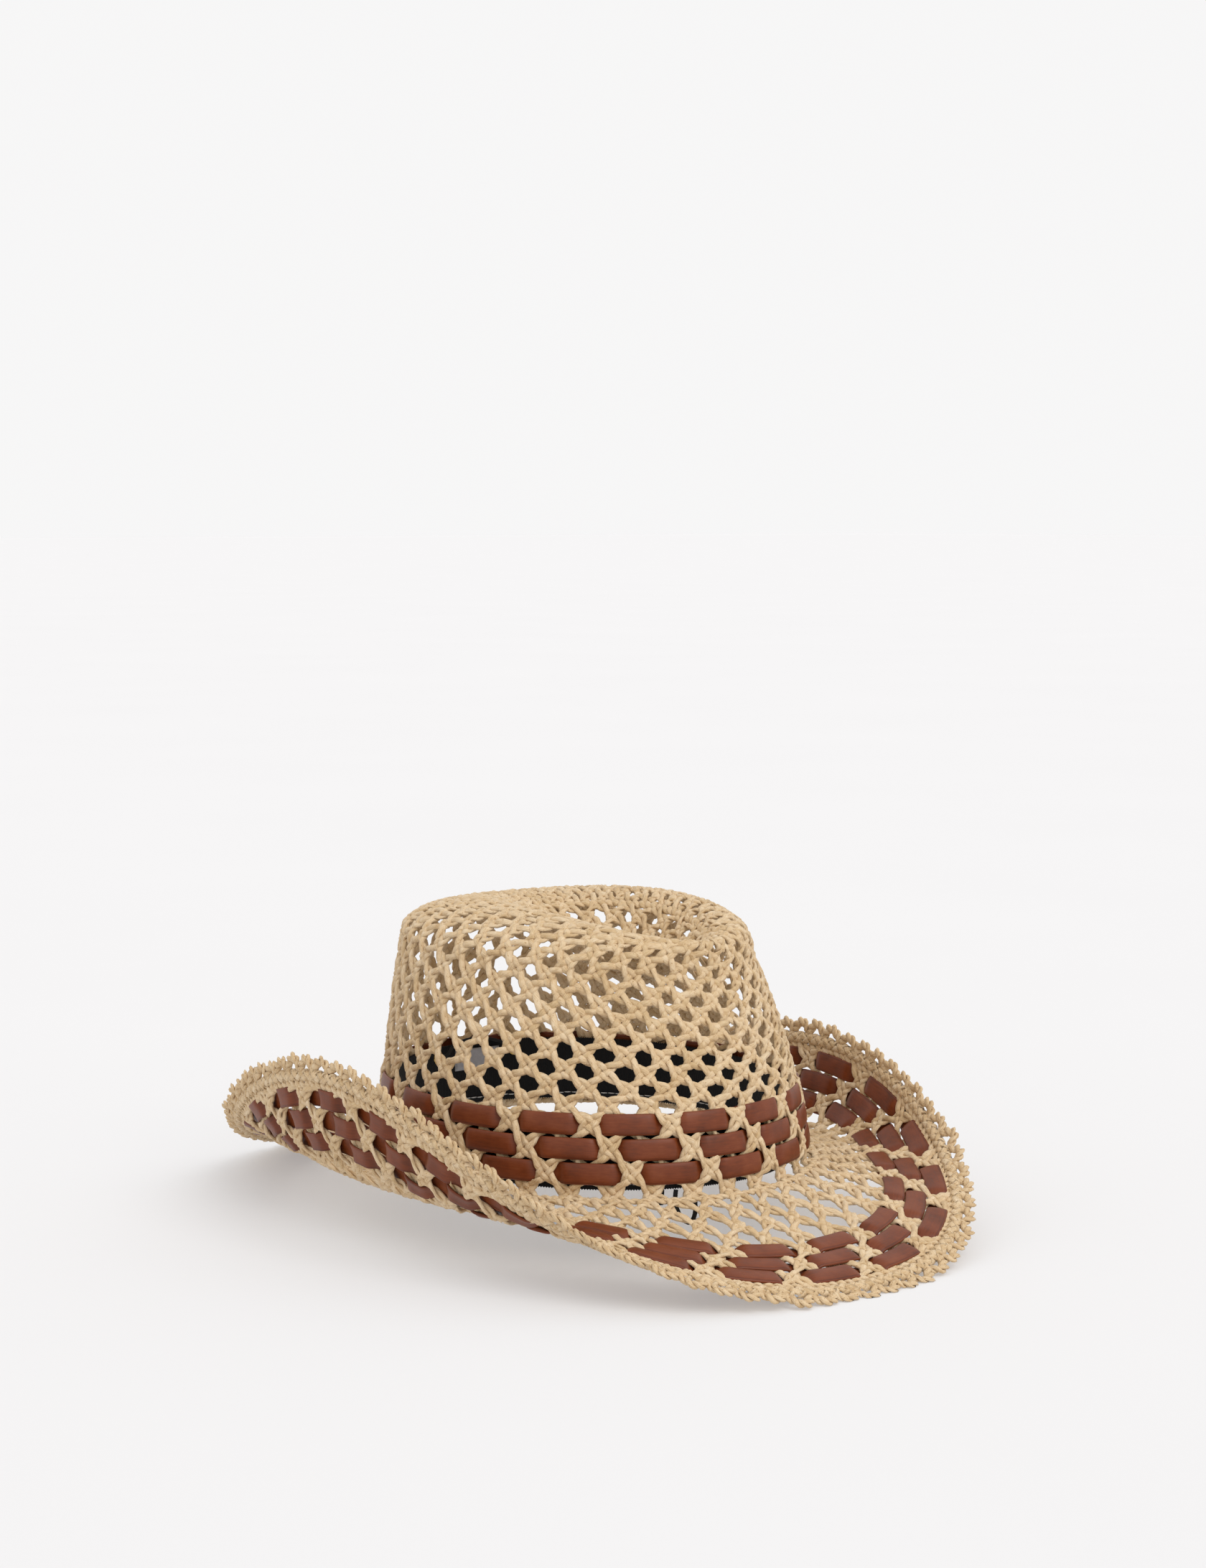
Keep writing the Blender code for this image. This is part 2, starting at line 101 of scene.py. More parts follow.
CROSSING_LENGTH = 6.2 * MM
CROSSING_REACH = 3.4 * MM          # how far from its middle a crossing bends the yarns
CROSSING_FADE = 1.4 * MM
ARM_PINCH = 0.48                   # how much closer the two yarns run between crossings
YARN_SLACK = 0.16 * MM
HAND_WOBBLE = 0.100                # of a column or row
SAMPLES_PER_ROW = 10
YARN_SIDES = 8
FLOOR_GAP = 0.3 * MM               # no yarn or strap reaches lower

# Straps
STRAP_WIDTH = 8.6 * MM
STRAP_THICKNESS = 1.3 * MM
STRAP_DOME = 0.42 * MM             # how much the middle of a strap bulges
STRAP_SWING = 1.35 * MM
NODE_SWING = 0.95 * MM
CROWN_STRAP_ROWS = {"lower": 1, "middle": 2, "upper": 3}
BRIM_STRAP_ROWS = {"inner": 4, "middle": 5, "outer": 6}

# Border
BORDER_INSET = 5.0 * MM            # from the edge of the brim to the middle of the braid
BORDER_HALF_WIDTH = 1.9 * MM
BORDER_HALF_HEIGHT = 1.3 * MM
BORDER_STRANDS = 3                 # of each hand
BORDER_PITCH = 15 * MM
SCALLOP_PITCH = 10.5 * MM
SCALLOP_ROOT = 1.6 * MM            # outwards from the middle of the braid
SCALLOP_DEPTH = 5.2 * MM
CHAIN_INSET = 8.6 * MM

# Sweatband and trim
BAND_LENGTH = 549 * MM
BAND_BOTTOM = 1.8 * MM
BAND_TOP = 29.8 * MM
BAND_OFFSET = 3.6 * MM             # inwards from the middle of the net
BAND_THICKNESS = 0.6 * MM
RIB_PITCH = 1.1 * MM
PICOT_DEPTH = 0.22 * MM
STITCH_LINE = 2.5 * MM
STITCH_PITCH = 3.4 * MM
EYELET_ANGLES = {"left": radians(70), "right": radians(100)}
EYELET_HEIGHT = 25.3 * MM
LABEL_HALF_ANGLE = radians(8.4)
LABEL_CENTRE = radians(84)
LABEL_BOTTOM = 17.6 * MM
LABEL_TOP = 27.1 * MM
CARE_ANGLE = radians(-116.5)
CARE_HALF_ANGLE = radians(2.3)
CARE_TOP = 3.0 * MM
CARE_BOTTOM = -5.3 * MM
CORD_DIAMETER = 1.6 * MM
LOOP_DIAMETER = 2.0 * MM

# Routes of the two cords, in millimetres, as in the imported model
SIZING_CORD_ROUTE = [(27.6, 84.1, 52.5), (26.1, 80.6, 52.5), (22.3, 80.1, 54.2), (18.2, 82.8, 56.8),
                     (12.4, 85.3, 58.4), (6.2, 86.3, 58.8), (0.0, 86.4, 58.2), (-6.2, 85.1, 56.5),
                     (-10.0, 83.2, 54.3), (-12.9, 84.6, 52.5), (-13.7, 88.3, 52.5)]
HANG_LOOP_ROUTE = [(-21.6, -95.4, 28.4), (-21.5, -95.7, 26.4), (-21.6, -96.2, 23.0), (-22.6, -97.2, 18.8),
                   (-25.2, -98.1, 16.0), (-28.0, -97.7, 16.4), (-29.9, -95.7, 19.6), (-29.8, -93.6, 23.8),
                   (-29.2, -92.9, 26.4), (-28.7, -92.7, 28.4)]

FLOOR_HALF_WIDTH = 30

# Colours, linear
STRAW_DARK = (0.43, 0.268, 0.124)
STRAW_MIDDLE = (0.64, 0.460, 0.262)
STRAW_LIGHT = (0.76, 0.600, 0.400)
LEATHER_DARK = (0.070, 0.016, 0.004)
LEATHER_MIDDLE = (0.160, 0.033, 0.007)
LEATHER_LIGHT = (0.220, 0.056, 0.017)


# ---- surfaces

def stacked(x, y, z):
    """Points from three coordinates of any matching shapes."""
    return np.stack(np.broadcast_arrays(x, y, z), axis=-1)


def mixed(start, end, share):
    """Between two arrays of points."""
    return start + (end - start) * share


def unit(vectors):
    """Vectors at length one."""
    return vectors / np.maximum(np.linalg.norm(vectors, axis=-1, keepdims=True), 1e-12)


def between(values, left, right, low, sideways, upward):
    """Between four neighbouring values of a grid."""
    below = mixed(values[left, low], values[right, low], sideways)
    above = mixed(values[left, low + 1], values[right, low + 1], sideways)
    return mixed(below, above, upward)


def foot_line(angle):
    """Where the crown meets the brim."""
    return stacked(HEAD_HALF_WIDTH * np.cos(angle), HEAD_HALF_LENGTH * np.sin(angle) - HEAD_FRONT_SHIFT,
                   FOOT_HEIGHT)


def shoulder_line(angle):
    """Where the crown wall starts to turn over."""
    return stacked(SHOULDER_HALF_WIDTH * np.cos(angle) + CREST_SIDE_SHIFT / 2,
                   SHOULDER_HALF_LENGTH * np.sin(angle) + SHOULDER_BACK_SHIFT,
                   SHOULDER_HEIGHT + SHOULDER_BACK_RISE * np.sin(angle))


def crest_line(angle):
    """The highest line of the crown, round the dent."""
    width = CREST_HALF_WIDTH * (1 + CREST_BACK_WIDENING * np.sin(angle))
    return stacked(width * np.cos(angle) + CREST_SIDE_SHIFT,
                   CREST_HALF_LENGTH * np.sin(angle) - CREST_FRONT_SHIFT,
                   CREST_HEIGHT + CREST_BACK_RISE * np.sin(angle) + CREST_SIDE_RISE * np.cos(2 * angle))


def edge_line(angle):
    """The outer edge of the brim."""
    across = np.cos(angle)
    along = np.sin(angle)
    reach = (abs(across) ** EDGE_SQUARENESS + abs(along) ** EDGE_SQUARENESS) ** (-1 / EDGE_SQUARENESS)
    height = (EDGE_MEAN_HEIGHT + EDGE_SIDE_ROLL * np.cos(2 * angle)
              + EDGE_END_FLATTENING * np.cos(4 * angle) - EDGE_LEFT_LIFT * across ** 3
              + EDGE_TWIST * 2 * across ** 2 * np.sin(2 * angle))
    return stacked(EDGE_HALF_WIDTH * reach * across, EDGE_HALF_LENGTH * reach * along, height)


DENT_CENTRE = np.array((CREST_SIDE_SHIFT, -CREST_FRONT_SHIFT - DENT_FRONT_SHIFT, CREST_HEIGHT - DENT_DEPTH))
SKIRT_STEPS = 2
WALL_STEPS = 60
TURNOVER_STEPS = 24
DENT_STEPS = 60
CREST_STEP = WALL_STEPS + TURNOVER_STEPS - 2      # place of the crest in a crown profile
BRIM_STEPS = 80


def wall_profiles(angle):
    """The crown wall from foot to shoulder, one profile for each angle."""
    rise = np.linspace(0, 1, WALL_STEPS)
    wall = mixed(foot_line(angle), shoulder_line(angle), (rise ** WALL_LEAN)[:, None])
    wall[..., 2] = FOOT_HEIGHT + (shoulder_line(angle)[..., 2] - FOOT_HEIGHT) * rise
    return wall


def crown_profiles(angle):
    """The whole crown from the foot over the shoulder to the middle of the dent."""
    turn = np.linspace(0, 1, TURNOVER_STEPS)[1:, None]
    shoulder = shoulder_line(angle)
    crest = crest_line(angle)
    over = mixed(shoulder, crest, 1 - np.cos(turn * pi / 2))
    over[..., 2:] = mixed(shoulder[..., 2:], crest[..., 2:], np.sin(turn * pi / 2))
    inward = np.linspace(0, 1, DENT_STEPS)[1:, None]
    dent = mixed(crest, DENT_CENTRE, inward)
    dent[..., 2:] = mixed(DENT_CENTRE[2:], crest[..., 2:], 0.5 + 0.5 * np.cos(pi * inward))
    return np.concatenate((wall_profiles(angle), over, dent), axis=1)


def brim_profiles(angle):
    """The brim from the crown's foot to the edge."""
    out = np.linspace(0, 1, BRIM_STEPS)[:, None]
    start = foot_line(angle)
    end = edge_line(angle)
    sideways = 0.5 + 0.5 * np.cos(2 * angle)[..., None]
    bend = mixed(start, end, 0.5 + 0.5 * sideways)
    bend[..., 2:] = mixed((start[..., 2:] + end[..., 2:]) / 2, ROLL_FLOOR_HEIGHT, sideways)
    return start * (1 - out) ** 2 + bend * (2 * out * (1 - out)) + end * out ** 2


def lengths_along(profiles):
    """Distance travelled along each profile."""
    steps = np.linalg.norm(np.diff(profiles, axis=1), axis=-1)
    return np.concatenate((np.zeros((len(profiles), 1)), np.cumsum(steps, axis=1)), axis=1)


def by_axis(wanted, lengths, line):
    """Points at the wanted distances along a line of points."""
    return np.stack([np.interp(wanted, lengths, line[:, axis]) for axis in range(3)], axis=-1)


def points_along(profiles, travelled, wanted):
    """Points at the wanted distances along each profile."""
    return np.stack([by_axis(*line) for line in zip(wanted, travelled, profiles)])


def oval(sides, half_width, half_height):
    """The outline of an oval."""
    turn = np.arange(sides) * 2 * pi / sides
    return np.stack((half_width * np.cos(turn), half_height * np.sin(turn)), axis=-1)


def direction(points, closed):
    """Unit vectors along a line of points."""
    if closed:
        return unit(np.roll(points, -1, axis=0) - np.roll(points, 1, axis=0))
    return unit(np.gradient(points, axis=0))


def steps_round(points):
    """The lengths of the steps of a closed line of points."""
    return np.linalg.norm(np.diff(points, axis=0, append=points[:1]), axis=-1)


def edge_frames(inset):
    """Points, outward directions and normals round the brim, at an inset from its edge."""
    profiles = brim_profiles(ANGLES[:, None])
    travelled = lengths_along(profiles)
    total = travelled[:, -1:]
    points = points_along(profiles, travelled, total - inset)[:, 0]
    outward = unit(points_along(profiles, travelled, total - inset + 0.6 * MM)[:, 0]
                   - points_along(profiles, travelled, total - inset - 0.6 * MM)[:, 0])
    normals = unit(np.cross(outward, direction(points, True)))
    return points, outward, normals


class Surface:
    """A ring-shaped sheet of points that a net or a band follows, by angle and row."""

    def __init__(self, points, first_row, last_row, facing):
        self.points = points
        self.first_row = first_row
        self.last_row = last_row
        around = np.roll(points, -1, axis=0) - np.roll(points, 1, axis=0)
        self.normals = unit(np.cross(around, np.gradient(points, axis=1)) * facing)

    def at(self, angle, row):
        """Points and normals, between the four nearest points of the sheet."""
        columns, rows = self.points.shape[:2]
        column = (angle / (2 * pi) * columns) % columns
        left = np.floor(column).astype(int) % columns
        right = (left + 1) % columns
        level = np.clip((row - self.first_row) / (self.last_row - self.first_row), 0, 1) * (rows - 1)
        low = np.minimum(np.floor(level).astype(int), rows - 2)
        sideways = (column - np.floor(column))[..., None]
        upward = (level - low)[..., None]
        where = (left, right, low, sideways, upward)
        return between(self.points, *where), unit(between(self.normals, *where))


ANGLES = np.linspace(0, 2 * pi, 720, endpoint=False)
ROW_FINENESS = 12


def row_samples(first_row, last_row):
    """Finely spaced rows from the first to the last."""
    return np.linspace(first_row, last_row, round((last_row - first_row) * ROW_FINENESS) + 1)


def make_crown_surface():
    """Rows of the crown: the strap rows at fixed heights, and the rest evenly up to the dent."""
    skirt = brim_profiles(ANGLES[:, None])
    near_foot = np.broadcast_to(np.array((CROWN_SKIRT, CROWN_SKIRT / 2)), (len(ANGLES), SKIRT_STEPS))
    skirt = points_along(skirt, lengths_along(skirt), near_foot)
    profiles = np.concatenate((skirt, crown_profiles(ANGLES[:, None])), axis=1)
    travelled = lengths_along(profiles)
    rows = row_samples(-0.5, CROWN_LAST_ROW)
    wall = slice(SKIRT_STEPS, SKIRT_STEPS + WALL_STEPS)
    ring_step = SKIRT_STEPS + CREST_STEP + round(DENT_RING * (DENT_STEPS - 1))
    wanted = np.empty((len(ANGLES), len(rows)))
    for index in range(len(ANGLES)):
        heights = profiles[index, wall, 2] - FOOT_HEIGHT
        known = [0.0, *np.interp(CROWN_ROW_HEIGHTS, heights, travelled[index, wall]),
                 travelled[index, ring_step]]
        wanted[index] = np.interp(rows, [-0.5, 0, 1, 2, 3, CROWN_LAST_ROW], known)
    return Surface(points_along(profiles, travelled, wanted), -0.5, CROWN_LAST_ROW, 1)


def make_dent_surface(start, end, last_row):
    """Rows of the dent between two shares of the way to its middle."""
    profiles = crown_profiles(ANGLES[:, None])[:, CREST_STEP:]
    travelled = lengths_along(profiles)
    share = np.linspace(start, end, round(last_row * ROW_FINENESS) + 1)
    return Surface(points_along(profiles, travelled, travelled[:, -1:] * share), 0, last_row, 1)


def make_brim_surface():
    """Rows of the brim: even near the crown, then at their insets; columns are even along the straps."""
    around = np.concatenate(([0], np.cumsum(steps_round(edge_frames(BRIM_ROW_INSETS[1])[0]))))
    even = np.interp(ANGLES / (2 * pi) * around[-1], around, np.append(ANGLES, 2 * pi))
    profiles = brim_profiles(even[:, None])
    travelled = lengths_along(profiles)
    last_row = BRIM_INNER_ROWS + len(BRIM_ROW_INSETS) - 1
    rows = row_samples(0, last_row)
    known_rows = [0, *range(BRIM_INNER_ROWS, last_row + 1)]
    wanted = np.stack([np.interp(rows, known_rows, [CROWN_SKIRT, *(total - np.array(BRIM_ROW_INSETS))])
                       for total in travelled[:, -1]])
    return Surface(points_along(profiles, travelled, wanted), 0, last_row, -1)


def make_wall_surface():
    """The crown wall by height above the foot instead of by row, for the sweatband and its trim."""
    low = -12 * MM
    high = 60 * MM
    profiles = wall_profiles(ANGLES[:, None])
    heights = np.linspace(low, high, 73)
    points = np.stack([by_axis(heights, profile[:, 2] - FOOT_HEIGHT, profile) for profile in profiles])
    points[..., 2] = heights + FOOT_HEIGHT
    return Surface(points, low, high, 1)


CROWN = make_crown_surface()
BRIM = make_brim_surface()
WALL = make_wall_surface()


# ---- meshes

class Builder:
    """Collects tubes and bands, then makes one mesh of them."""

    def __init__(self):
        self.points = []
        self.quads = []
        self.caps = []
        self.grain = []
        self.cap_grain = []
        self.tints = []
        self.size = 0

    def add(self, rings, closed, tint=0.5):
        """A tube through rings of points, (stations, sides, 3), with end caps unless it is closed."""
        stations, sides = rings.shape[:2]
        travelled = np.concatenate(([0], np.cumsum(steps_round(rings[:, 0])))) * 100
        station = np.arange(stations if closed else stations - 1)[:, None]
        side = np.arange(sides)[None, :]
        following = (station + 1) % stations
        beside = (side + 1) % sides
        corners = [station * sides + side, station * sides + beside,
                   following * sides + beside, following * sides + side]
        self.quads.append(np.stack(np.broadcast_arrays(*corners), axis=-1).reshape(-1, 4) + self.size)
        shape = (len(station), sides)
        along = np.broadcast_to(travelled[:-1][:len(station), None], shape)
        onward = np.broadcast_to(travelled[1:][:len(station), None], shape)
        here = np.broadcast_to(side / sides, shape)
        there = np.broadcast_to((side + 1) / sides, shape)
        grain = np.stack((np.stack((along, here), -1), np.stack((along, there), -1),
                          np.stack((onward, there), -1), np.stack((onward, here), -1)), axis=2)
        self.grain.append(grain.reshape(-1, 2))
        if not closed:
            first = np.arange(sides)[::-1] + self.size
            last = np.arange(sides) + (stations - 1) * sides + self.size
            self.caps.extend((first, last))
            self.cap_grain.append(np.zeros((2 * sides, 2)))
        self.points.append(rings.reshape(-1, 3))
        self.tints.append(np.full(stations * sides, tint))
        self.size += stations * sides

    def make(self, name, finish, lowest=None):
        """The finished object, with no point lower than asked."""
        points = np.concatenate(self.points)
        if lowest is not None:
            points[:, 2] = np.maximum(points[:, 2], lowest)
        quads = np.concatenate(self.quads)
        sizes = np.array([4] * len(quads) + [len(cap) for cap in self.caps])
        corners = np.concatenate([quads.ravel(), *self.caps]) if self.caps else quads.ravel()
        grain = np.concatenate(self.grain + self.cap_grain)
        mesh = bpy.data.meshes.new(name)
        mesh.vertices.add(len(points))
        mesh.vertices.foreach_set("co", points.astype(np.float32).ravel())
        mesh.loops.add(len(corners))
        mesh.loops.foreach_set("vertex_index", corners.astype(np.int32))
        mesh.polygons.add(len(sizes))
        mesh.polygons.foreach_set("loop_start", (np.cumsum(sizes) - sizes).astype(np.int32))
        mesh.update(calc_edges=True)
        mesh.shade_smooth()
        layer = mesh.uv_layers.new(name="grain")
        layer.uv.foreach_set("vector", grain.astype(np.float32).ravel())
        tint = mesh.attributes.new("tint", "FLOAT", "POINT")
        tint.data.foreach_set("value", np.concatenate(self.tints).astype(np.float32))
        mesh.materials.append(finish)
        piece = bpy.data.objects.new(name, mesh)
        bpy.context.scene.collection.objects.link(piece)
        return piece


def place(piece, slot, *nodes):
    """Fix a piece to the hat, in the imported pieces' stead."""
    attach(piece, "root")
    if nodes:
        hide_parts(*nodes)
    return piece


def swept(centres, across, up, outline):
    """Rings of an outline carried along a line; the outline may differ at each station."""
    return (centres[:, None] + across[:, None] * outline[..., 0][..., None]
            + up[:, None] * outline[..., 1][..., None])


def smooth_chance(count, spacing, closed):
    """A gentle random line between -1 and 1, with a new value every few samples."""
    knots = max(4, round(count / spacing))
    values = CHANCE.uniform(-1, 1, knots + 1)
    if closed:
        values[-1] = values[0]
    share = np.linspace(0, knots, count)
    low = np.minimum(share.astype(int), knots - 1)
    ease = 0.5 - 0.5 * np.cos(pi * (share - low))
    return values[low] + (values[low + 1] - values[low]) * ease


def yarn(builder, centres, normals, closed, roll=0.0, width=YARN_HALF_WIDTH, thickness=YARN_HALF_THICKNESS,
         sides=YARN_SIDES):
    """One flattened paper yarn, a little uneven in width, thickness and roll."""
    count = len(centres)
    ahead = direction(centres, closed)
    left = unit(np.cross(normals, ahead))
    above = np.cross(ahead, left)
    roll = roll + 0.25 * smooth_chance(count, 9, closed)
    across = left * np.cos(roll)[:, None] + above * np.sin(roll)[:, None]
    up = above * np.cos(roll)[:, None] - left * np.sin(roll)[:, None]
    turn = np.arange(sides) * 2 * pi / sides
    wide = width * (1 + 0.13 * smooth_chance(count, 6, closed))[:, None]
    thick = thickness * (1 + 0.15 * smooth_chance(count, 5, closed))[:, None]
    crease = 1 - 0.16 * np.cos(2 * turn + 2.2 * smooth_chance(count, 8, closed)[:, None]) ** 4
    outline = np.stack((wide * np.cos(turn) * crease, thick * np.sin(turn) * crease), axis=-1)
    builder.add(swept(centres, across, up, outline), closed, float(CHANCE.uniform(0, 1)))


# ---- net

def lacing(angle, columns, row, phase):
    """1 where the net's crossing lies over the strap of this row, -1 where it lies under it."""
    return np.cos(pi * (angle * columns / (2 * pi) - phase + row / 2))


def sharpened(wave, strength):
    """A cosine with flatter tops."""
    return np.tanh(strength * wave) / np.tanh(strength)


class Net:
    """Diagonal strands of two twisted yarns each, crossing in plain weave."""

    def __init__(self, surface, columns, phase, first_row, last_row, strap_rows):
        self.surface = surface
        self.columns = columns
        self.phase = phase
        self.first_row = first_row
        self.last_row = last_row
        self.strap_rows = strap_rows
        grid = (2 * columns, int(np.ceil(last_row - first_row)) + 3, 2)
        self.wobble = CHANCE.uniform(-HAND_WOBBLE, HAND_WOBBLE, grid)

    def wobbled(self, angle, row):
        """A little off the even grid, with both strands moved alike where they cross."""
        half_column = ((angle / (2 * pi) * self.columns - self.phase) * 2) % (2 * self.columns)
        left = np.floor(half_column).astype(int) % (2 * self.columns)
        right = (left + 1) % (2 * self.columns)
        level = row - np.floor(self.first_row)
        low = np.floor(level).astype(int)
        sideways = (half_column - np.floor(half_column))[:, None]
        upward = (level - low)[:, None]
        shift = between(self.wobble, left, right, low, sideways, upward)
        return angle + shift[:, 0] * 2 * pi / self.columns, row + shift[:, 1]

    def swing(self, angle, row):
        """How far the straps push the net out of its surface."""
        total = np.zeros_like(row)
        for strap_row in self.strap_rows:
            near = np.clip((0.62 - abs(row - strap_row)) / 0.24, 0, 1)
            near = near * near * (3 - 2 * near)
            wave = sharpened(lacing(angle, self.columns, strap_row, self.phase), 2.0)
            total += near * wave * NODE_SWING
        return total

    def strand(self, builder, column, lean):
        """Both yarns of one strand."""
        count = round((self.last_row - self.first_row) * SAMPLES_PER_ROW) + 1
        row = np.linspace(self.first_row, self.last_row, count)
        angle = (column + self.phase + lean * row / 2) * 2 * pi / self.columns
        middle, normal = self.surface.at(*self.wobbled(angle, row))
        middle = middle + normal * self.swing(angle, row)[:, None]
        speed = np.linalg.norm(np.gradient(middle, axis=0), axis=-1) * SAMPLES_PER_ROW
        left = unit(np.cross(normal, direction(middle, False)))
        nearest = np.round(row)
        beyond = (row - nearest) * speed
        sign = np.where(nearest % 2 == 0, 1, -1)
        window = np.clip((CROSSING_REACH - abs(beyond)) / CROSSING_FADE, 0, 1)
        crossing = np.sin(2 * pi * beyond / CROSSING_LENGTH) * window * CROSSING_HEIGHT
        side_swap = sharpened(np.cos(pi * row), 2.0)
        closeness = np.abs(np.cos(pi * row))
        spread = PAIR_SPREAD * (1 - ARM_PINCH * (1 - closeness))
        twist = np.sin(pi * row) * PAIR_TWIST_HEIGHT * (1 - window * 0.5)
        for yarn_side in (-1, 1):
            sideways = yarn_side * spread * side_swap
            height = yarn_side * twist - yarn_side * sign * crossing
            slack = YARN_SLACK * smooth_chance(count, 7, False)
            centres = middle + left * (sideways + slack)[:, None] + normal * height[:, None]
            roll = 0.5 * yarn_side * np.sin(pi * row) * (1 - closeness)
            yarn(builder, centres, normal, False, roll)

    def family(self, lean):
        """All strands that lean the same way."""
        builder = Builder()
        for column in range(self.columns):
            self.strand(builder, column, lean)
        return builder


def twisted_ring(builder, points, normals, spread, pitch, width=YARN_HALF_WIDTH):
    """Two yarns twisted together round the whole hat."""
    travelled = steps_round(points)
    total = travelled.sum()
    turns = round(total / pitch)
    turn = np.concatenate(([0], np.cumsum(travelled)[:-1])) / total * turns * 2 * pi
    left = unit(np.cross(normals, direction(points, True)))
    for start in (0, pi):
        offset = left * np.cos(turn + start)[:, None] + normals * np.sin(turn + start)[:, None] * 0.75
        yarn(builder, points + offset * spread, normals, True, width=width, sides=6)


def ring_on(surface, row, count):
    """Points and normals right round a surface at one row."""
    return surface.at(np.linspace(0, 2 * pi, count, endpoint=False), np.full(count, float(row)))


# ---- straps

def strap(name, surface, columns, phase, row, finish, node):
    """A leather strap laced over and under the crossings of one row."""
    point, normal = surface.at(ANGLES, np.full(len(ANGLES), float(row)))
    count = round(steps_round(point).sum() / (0.8 * MM))
    angle = np.linspace(0, 2 * pi, count, endpoint=False)
    drift = 0.02 * smooth_chance(count, 40, True)
    point, normal = surface.at(angle, row + drift)
    ahead = direction(point, True)
    wave = lacing(angle, columns, row, phase)
    height = STRAP_SWING * np.tanh(4 * (0.45 - wave))
    tilt = 0.06 * smooth_chance(count, 25, True)
    left = unit(np.cross(normal, ahead))
    across = unit(left + normal * tilt[:, None])
    centres = point + normal * height[:, None]
    ahead = direction(centres, True)
    up = unit(np.cross(ahead, across))
    half_width = STRAP_WIDTH / 2
    half_thick = STRAP_THICKNESS / 2
    rim = half_thick * 0.9
    outline = []
    for end in (1, -1):
        middle = end * (half_width - rim)
        for turn in np.linspace(-pi / 2, pi / 2, 5) * end:
            outline.append((middle + end * rim * abs(cos(turn)), rim * sin(turn)))
        for share in (0.6, 0.2, -0.2, -0.6):
            outline.append((end * share * (half_width - rim), end * half_thick))
    outline = np.array(outline)
    dome = STRAP_DOME * (1 - (outline[:, 0] / half_width) ** 2)
    outline = np.stack((outline[:, 0], outline[:, 1] + dome), axis=-1)
    squeeze = 1 - 0.07 * np.clip(wave, 0, 1) ** 3
    outline = outline[None] * np.stack((squeeze, np.ones(count)), axis=-1)[:, None]
    builder = Builder()
    builder.add(swept(centres, across, up, outline), True)
    place(builder.make(name, finish, FLOOR_GAP), "leather", node)


# ---- border

def resampled(values, count):
    """The same closed line with another number of evenly spaced samples."""
    travelled = np.concatenate(([0], np.cumsum(steps_round(values[0]))))
    wanted = np.linspace(0, travelled[-1], count, endpoint=False)
    found = []
    for value in values:
        closed = np.concatenate((value, value[:1]))
        found.append(by_axis(wanted, travelled, closed))
    return found


def make_braid(values, total, finish):
    """The flat braid, of strands that wind both ways round a hidden core."""
    half_width = BORDER_HALF_WIDTH
    half_height = BORDER_HALF_HEIGHT
    count = round(total / (0.9 * MM))
    points, outward, normals = resampled(values, count)
    share = np.arange(count) / count
    turns = round(total / BORDER_PITCH)
    braid = Builder()
    for hand in (1, -1):
        over = hand * 0.36 * MM * np.cos(2 * pi * share * BORDER_STRANDS * turns)
        for strand in range(BORDER_STRANDS):
            turn = 2 * pi * (strand / BORDER_STRANDS + hand * share * turns)
            offset = (outward * ((half_width + over) * np.cos(turn))[:, None]
                      + normals * ((half_height + over) * np.sin(turn))[:, None])
            facing = unit(outward * (half_height * np.cos(turn))[:, None]
                          + normals * (half_width * np.sin(turn))[:, None])
            yarn(braid, points + offset, facing, True, width=1.5 * MM, thickness=0.62 * MM, sides=6)
    core = oval(8, 0.86 * half_width, 0.7 * half_height)
    braid.add(swept(points, normals, outward, core[:, ::-1]), True, 0.1)
    place(braid.make("border_braid", finish, FLOOR_GAP), "straw_border", "brim_edge_braid")


def make_scallops(values, total, finish):
    """The loops along the outer edge of the braid."""
    count = round(total / (0.7 * MM))
    points, outward, normals = resampled(values, count)
    scallops = round(total / SCALLOP_PITCH)
    phase = pi * scallops * np.arange(count) / count + 0.35 * smooth_chance(count, 30, True)
    depth = SCALLOP_DEPTH * np.abs(np.sin(phase)) ** 0.8 * (1 + 0.2 * smooth_chance(count, 14, True))
    rise = 0.5 * MM * smooth_chance(count, 17, True)
    line = points + outward * (SCALLOP_ROOT + depth)[:, None] + normals * rise[:, None]
    loops = Builder()
    twisted_ring(loops, line, normals, 1.05 * MM, 7 * MM, 1.4 * MM)
    place(loops.make("border_scallops", finish, FLOOR_GAP), "straw_border", "brim_edge_braid")


def make_chain(total, finish):
    """The twisted pair between the braid and the net."""
    count = round(total / (0.8 * MM))
    points, outward, normals = resampled(edge_frames(CHAIN_INSET), count)
    sway = outward * (0.5 * MM * smooth_chance(count, 12, True))[:, None]
    chain = Builder()
    twisted_ring(chain, points + sway, normals, 1.0 * MM, 8 * MM)
    place(chain.make("border_chain", finish, FLOOR_GAP), "straw_border", "brim_edge_braid")


def make_border(finish):
    """The border of the brim."""
    values = edge_frames(BORDER_INSET)
    total = steps_round(values[0]).sum()
    make_braid(values, total, finish)
    make_scallops(values, total, finish)
    make_chain(total, finish)


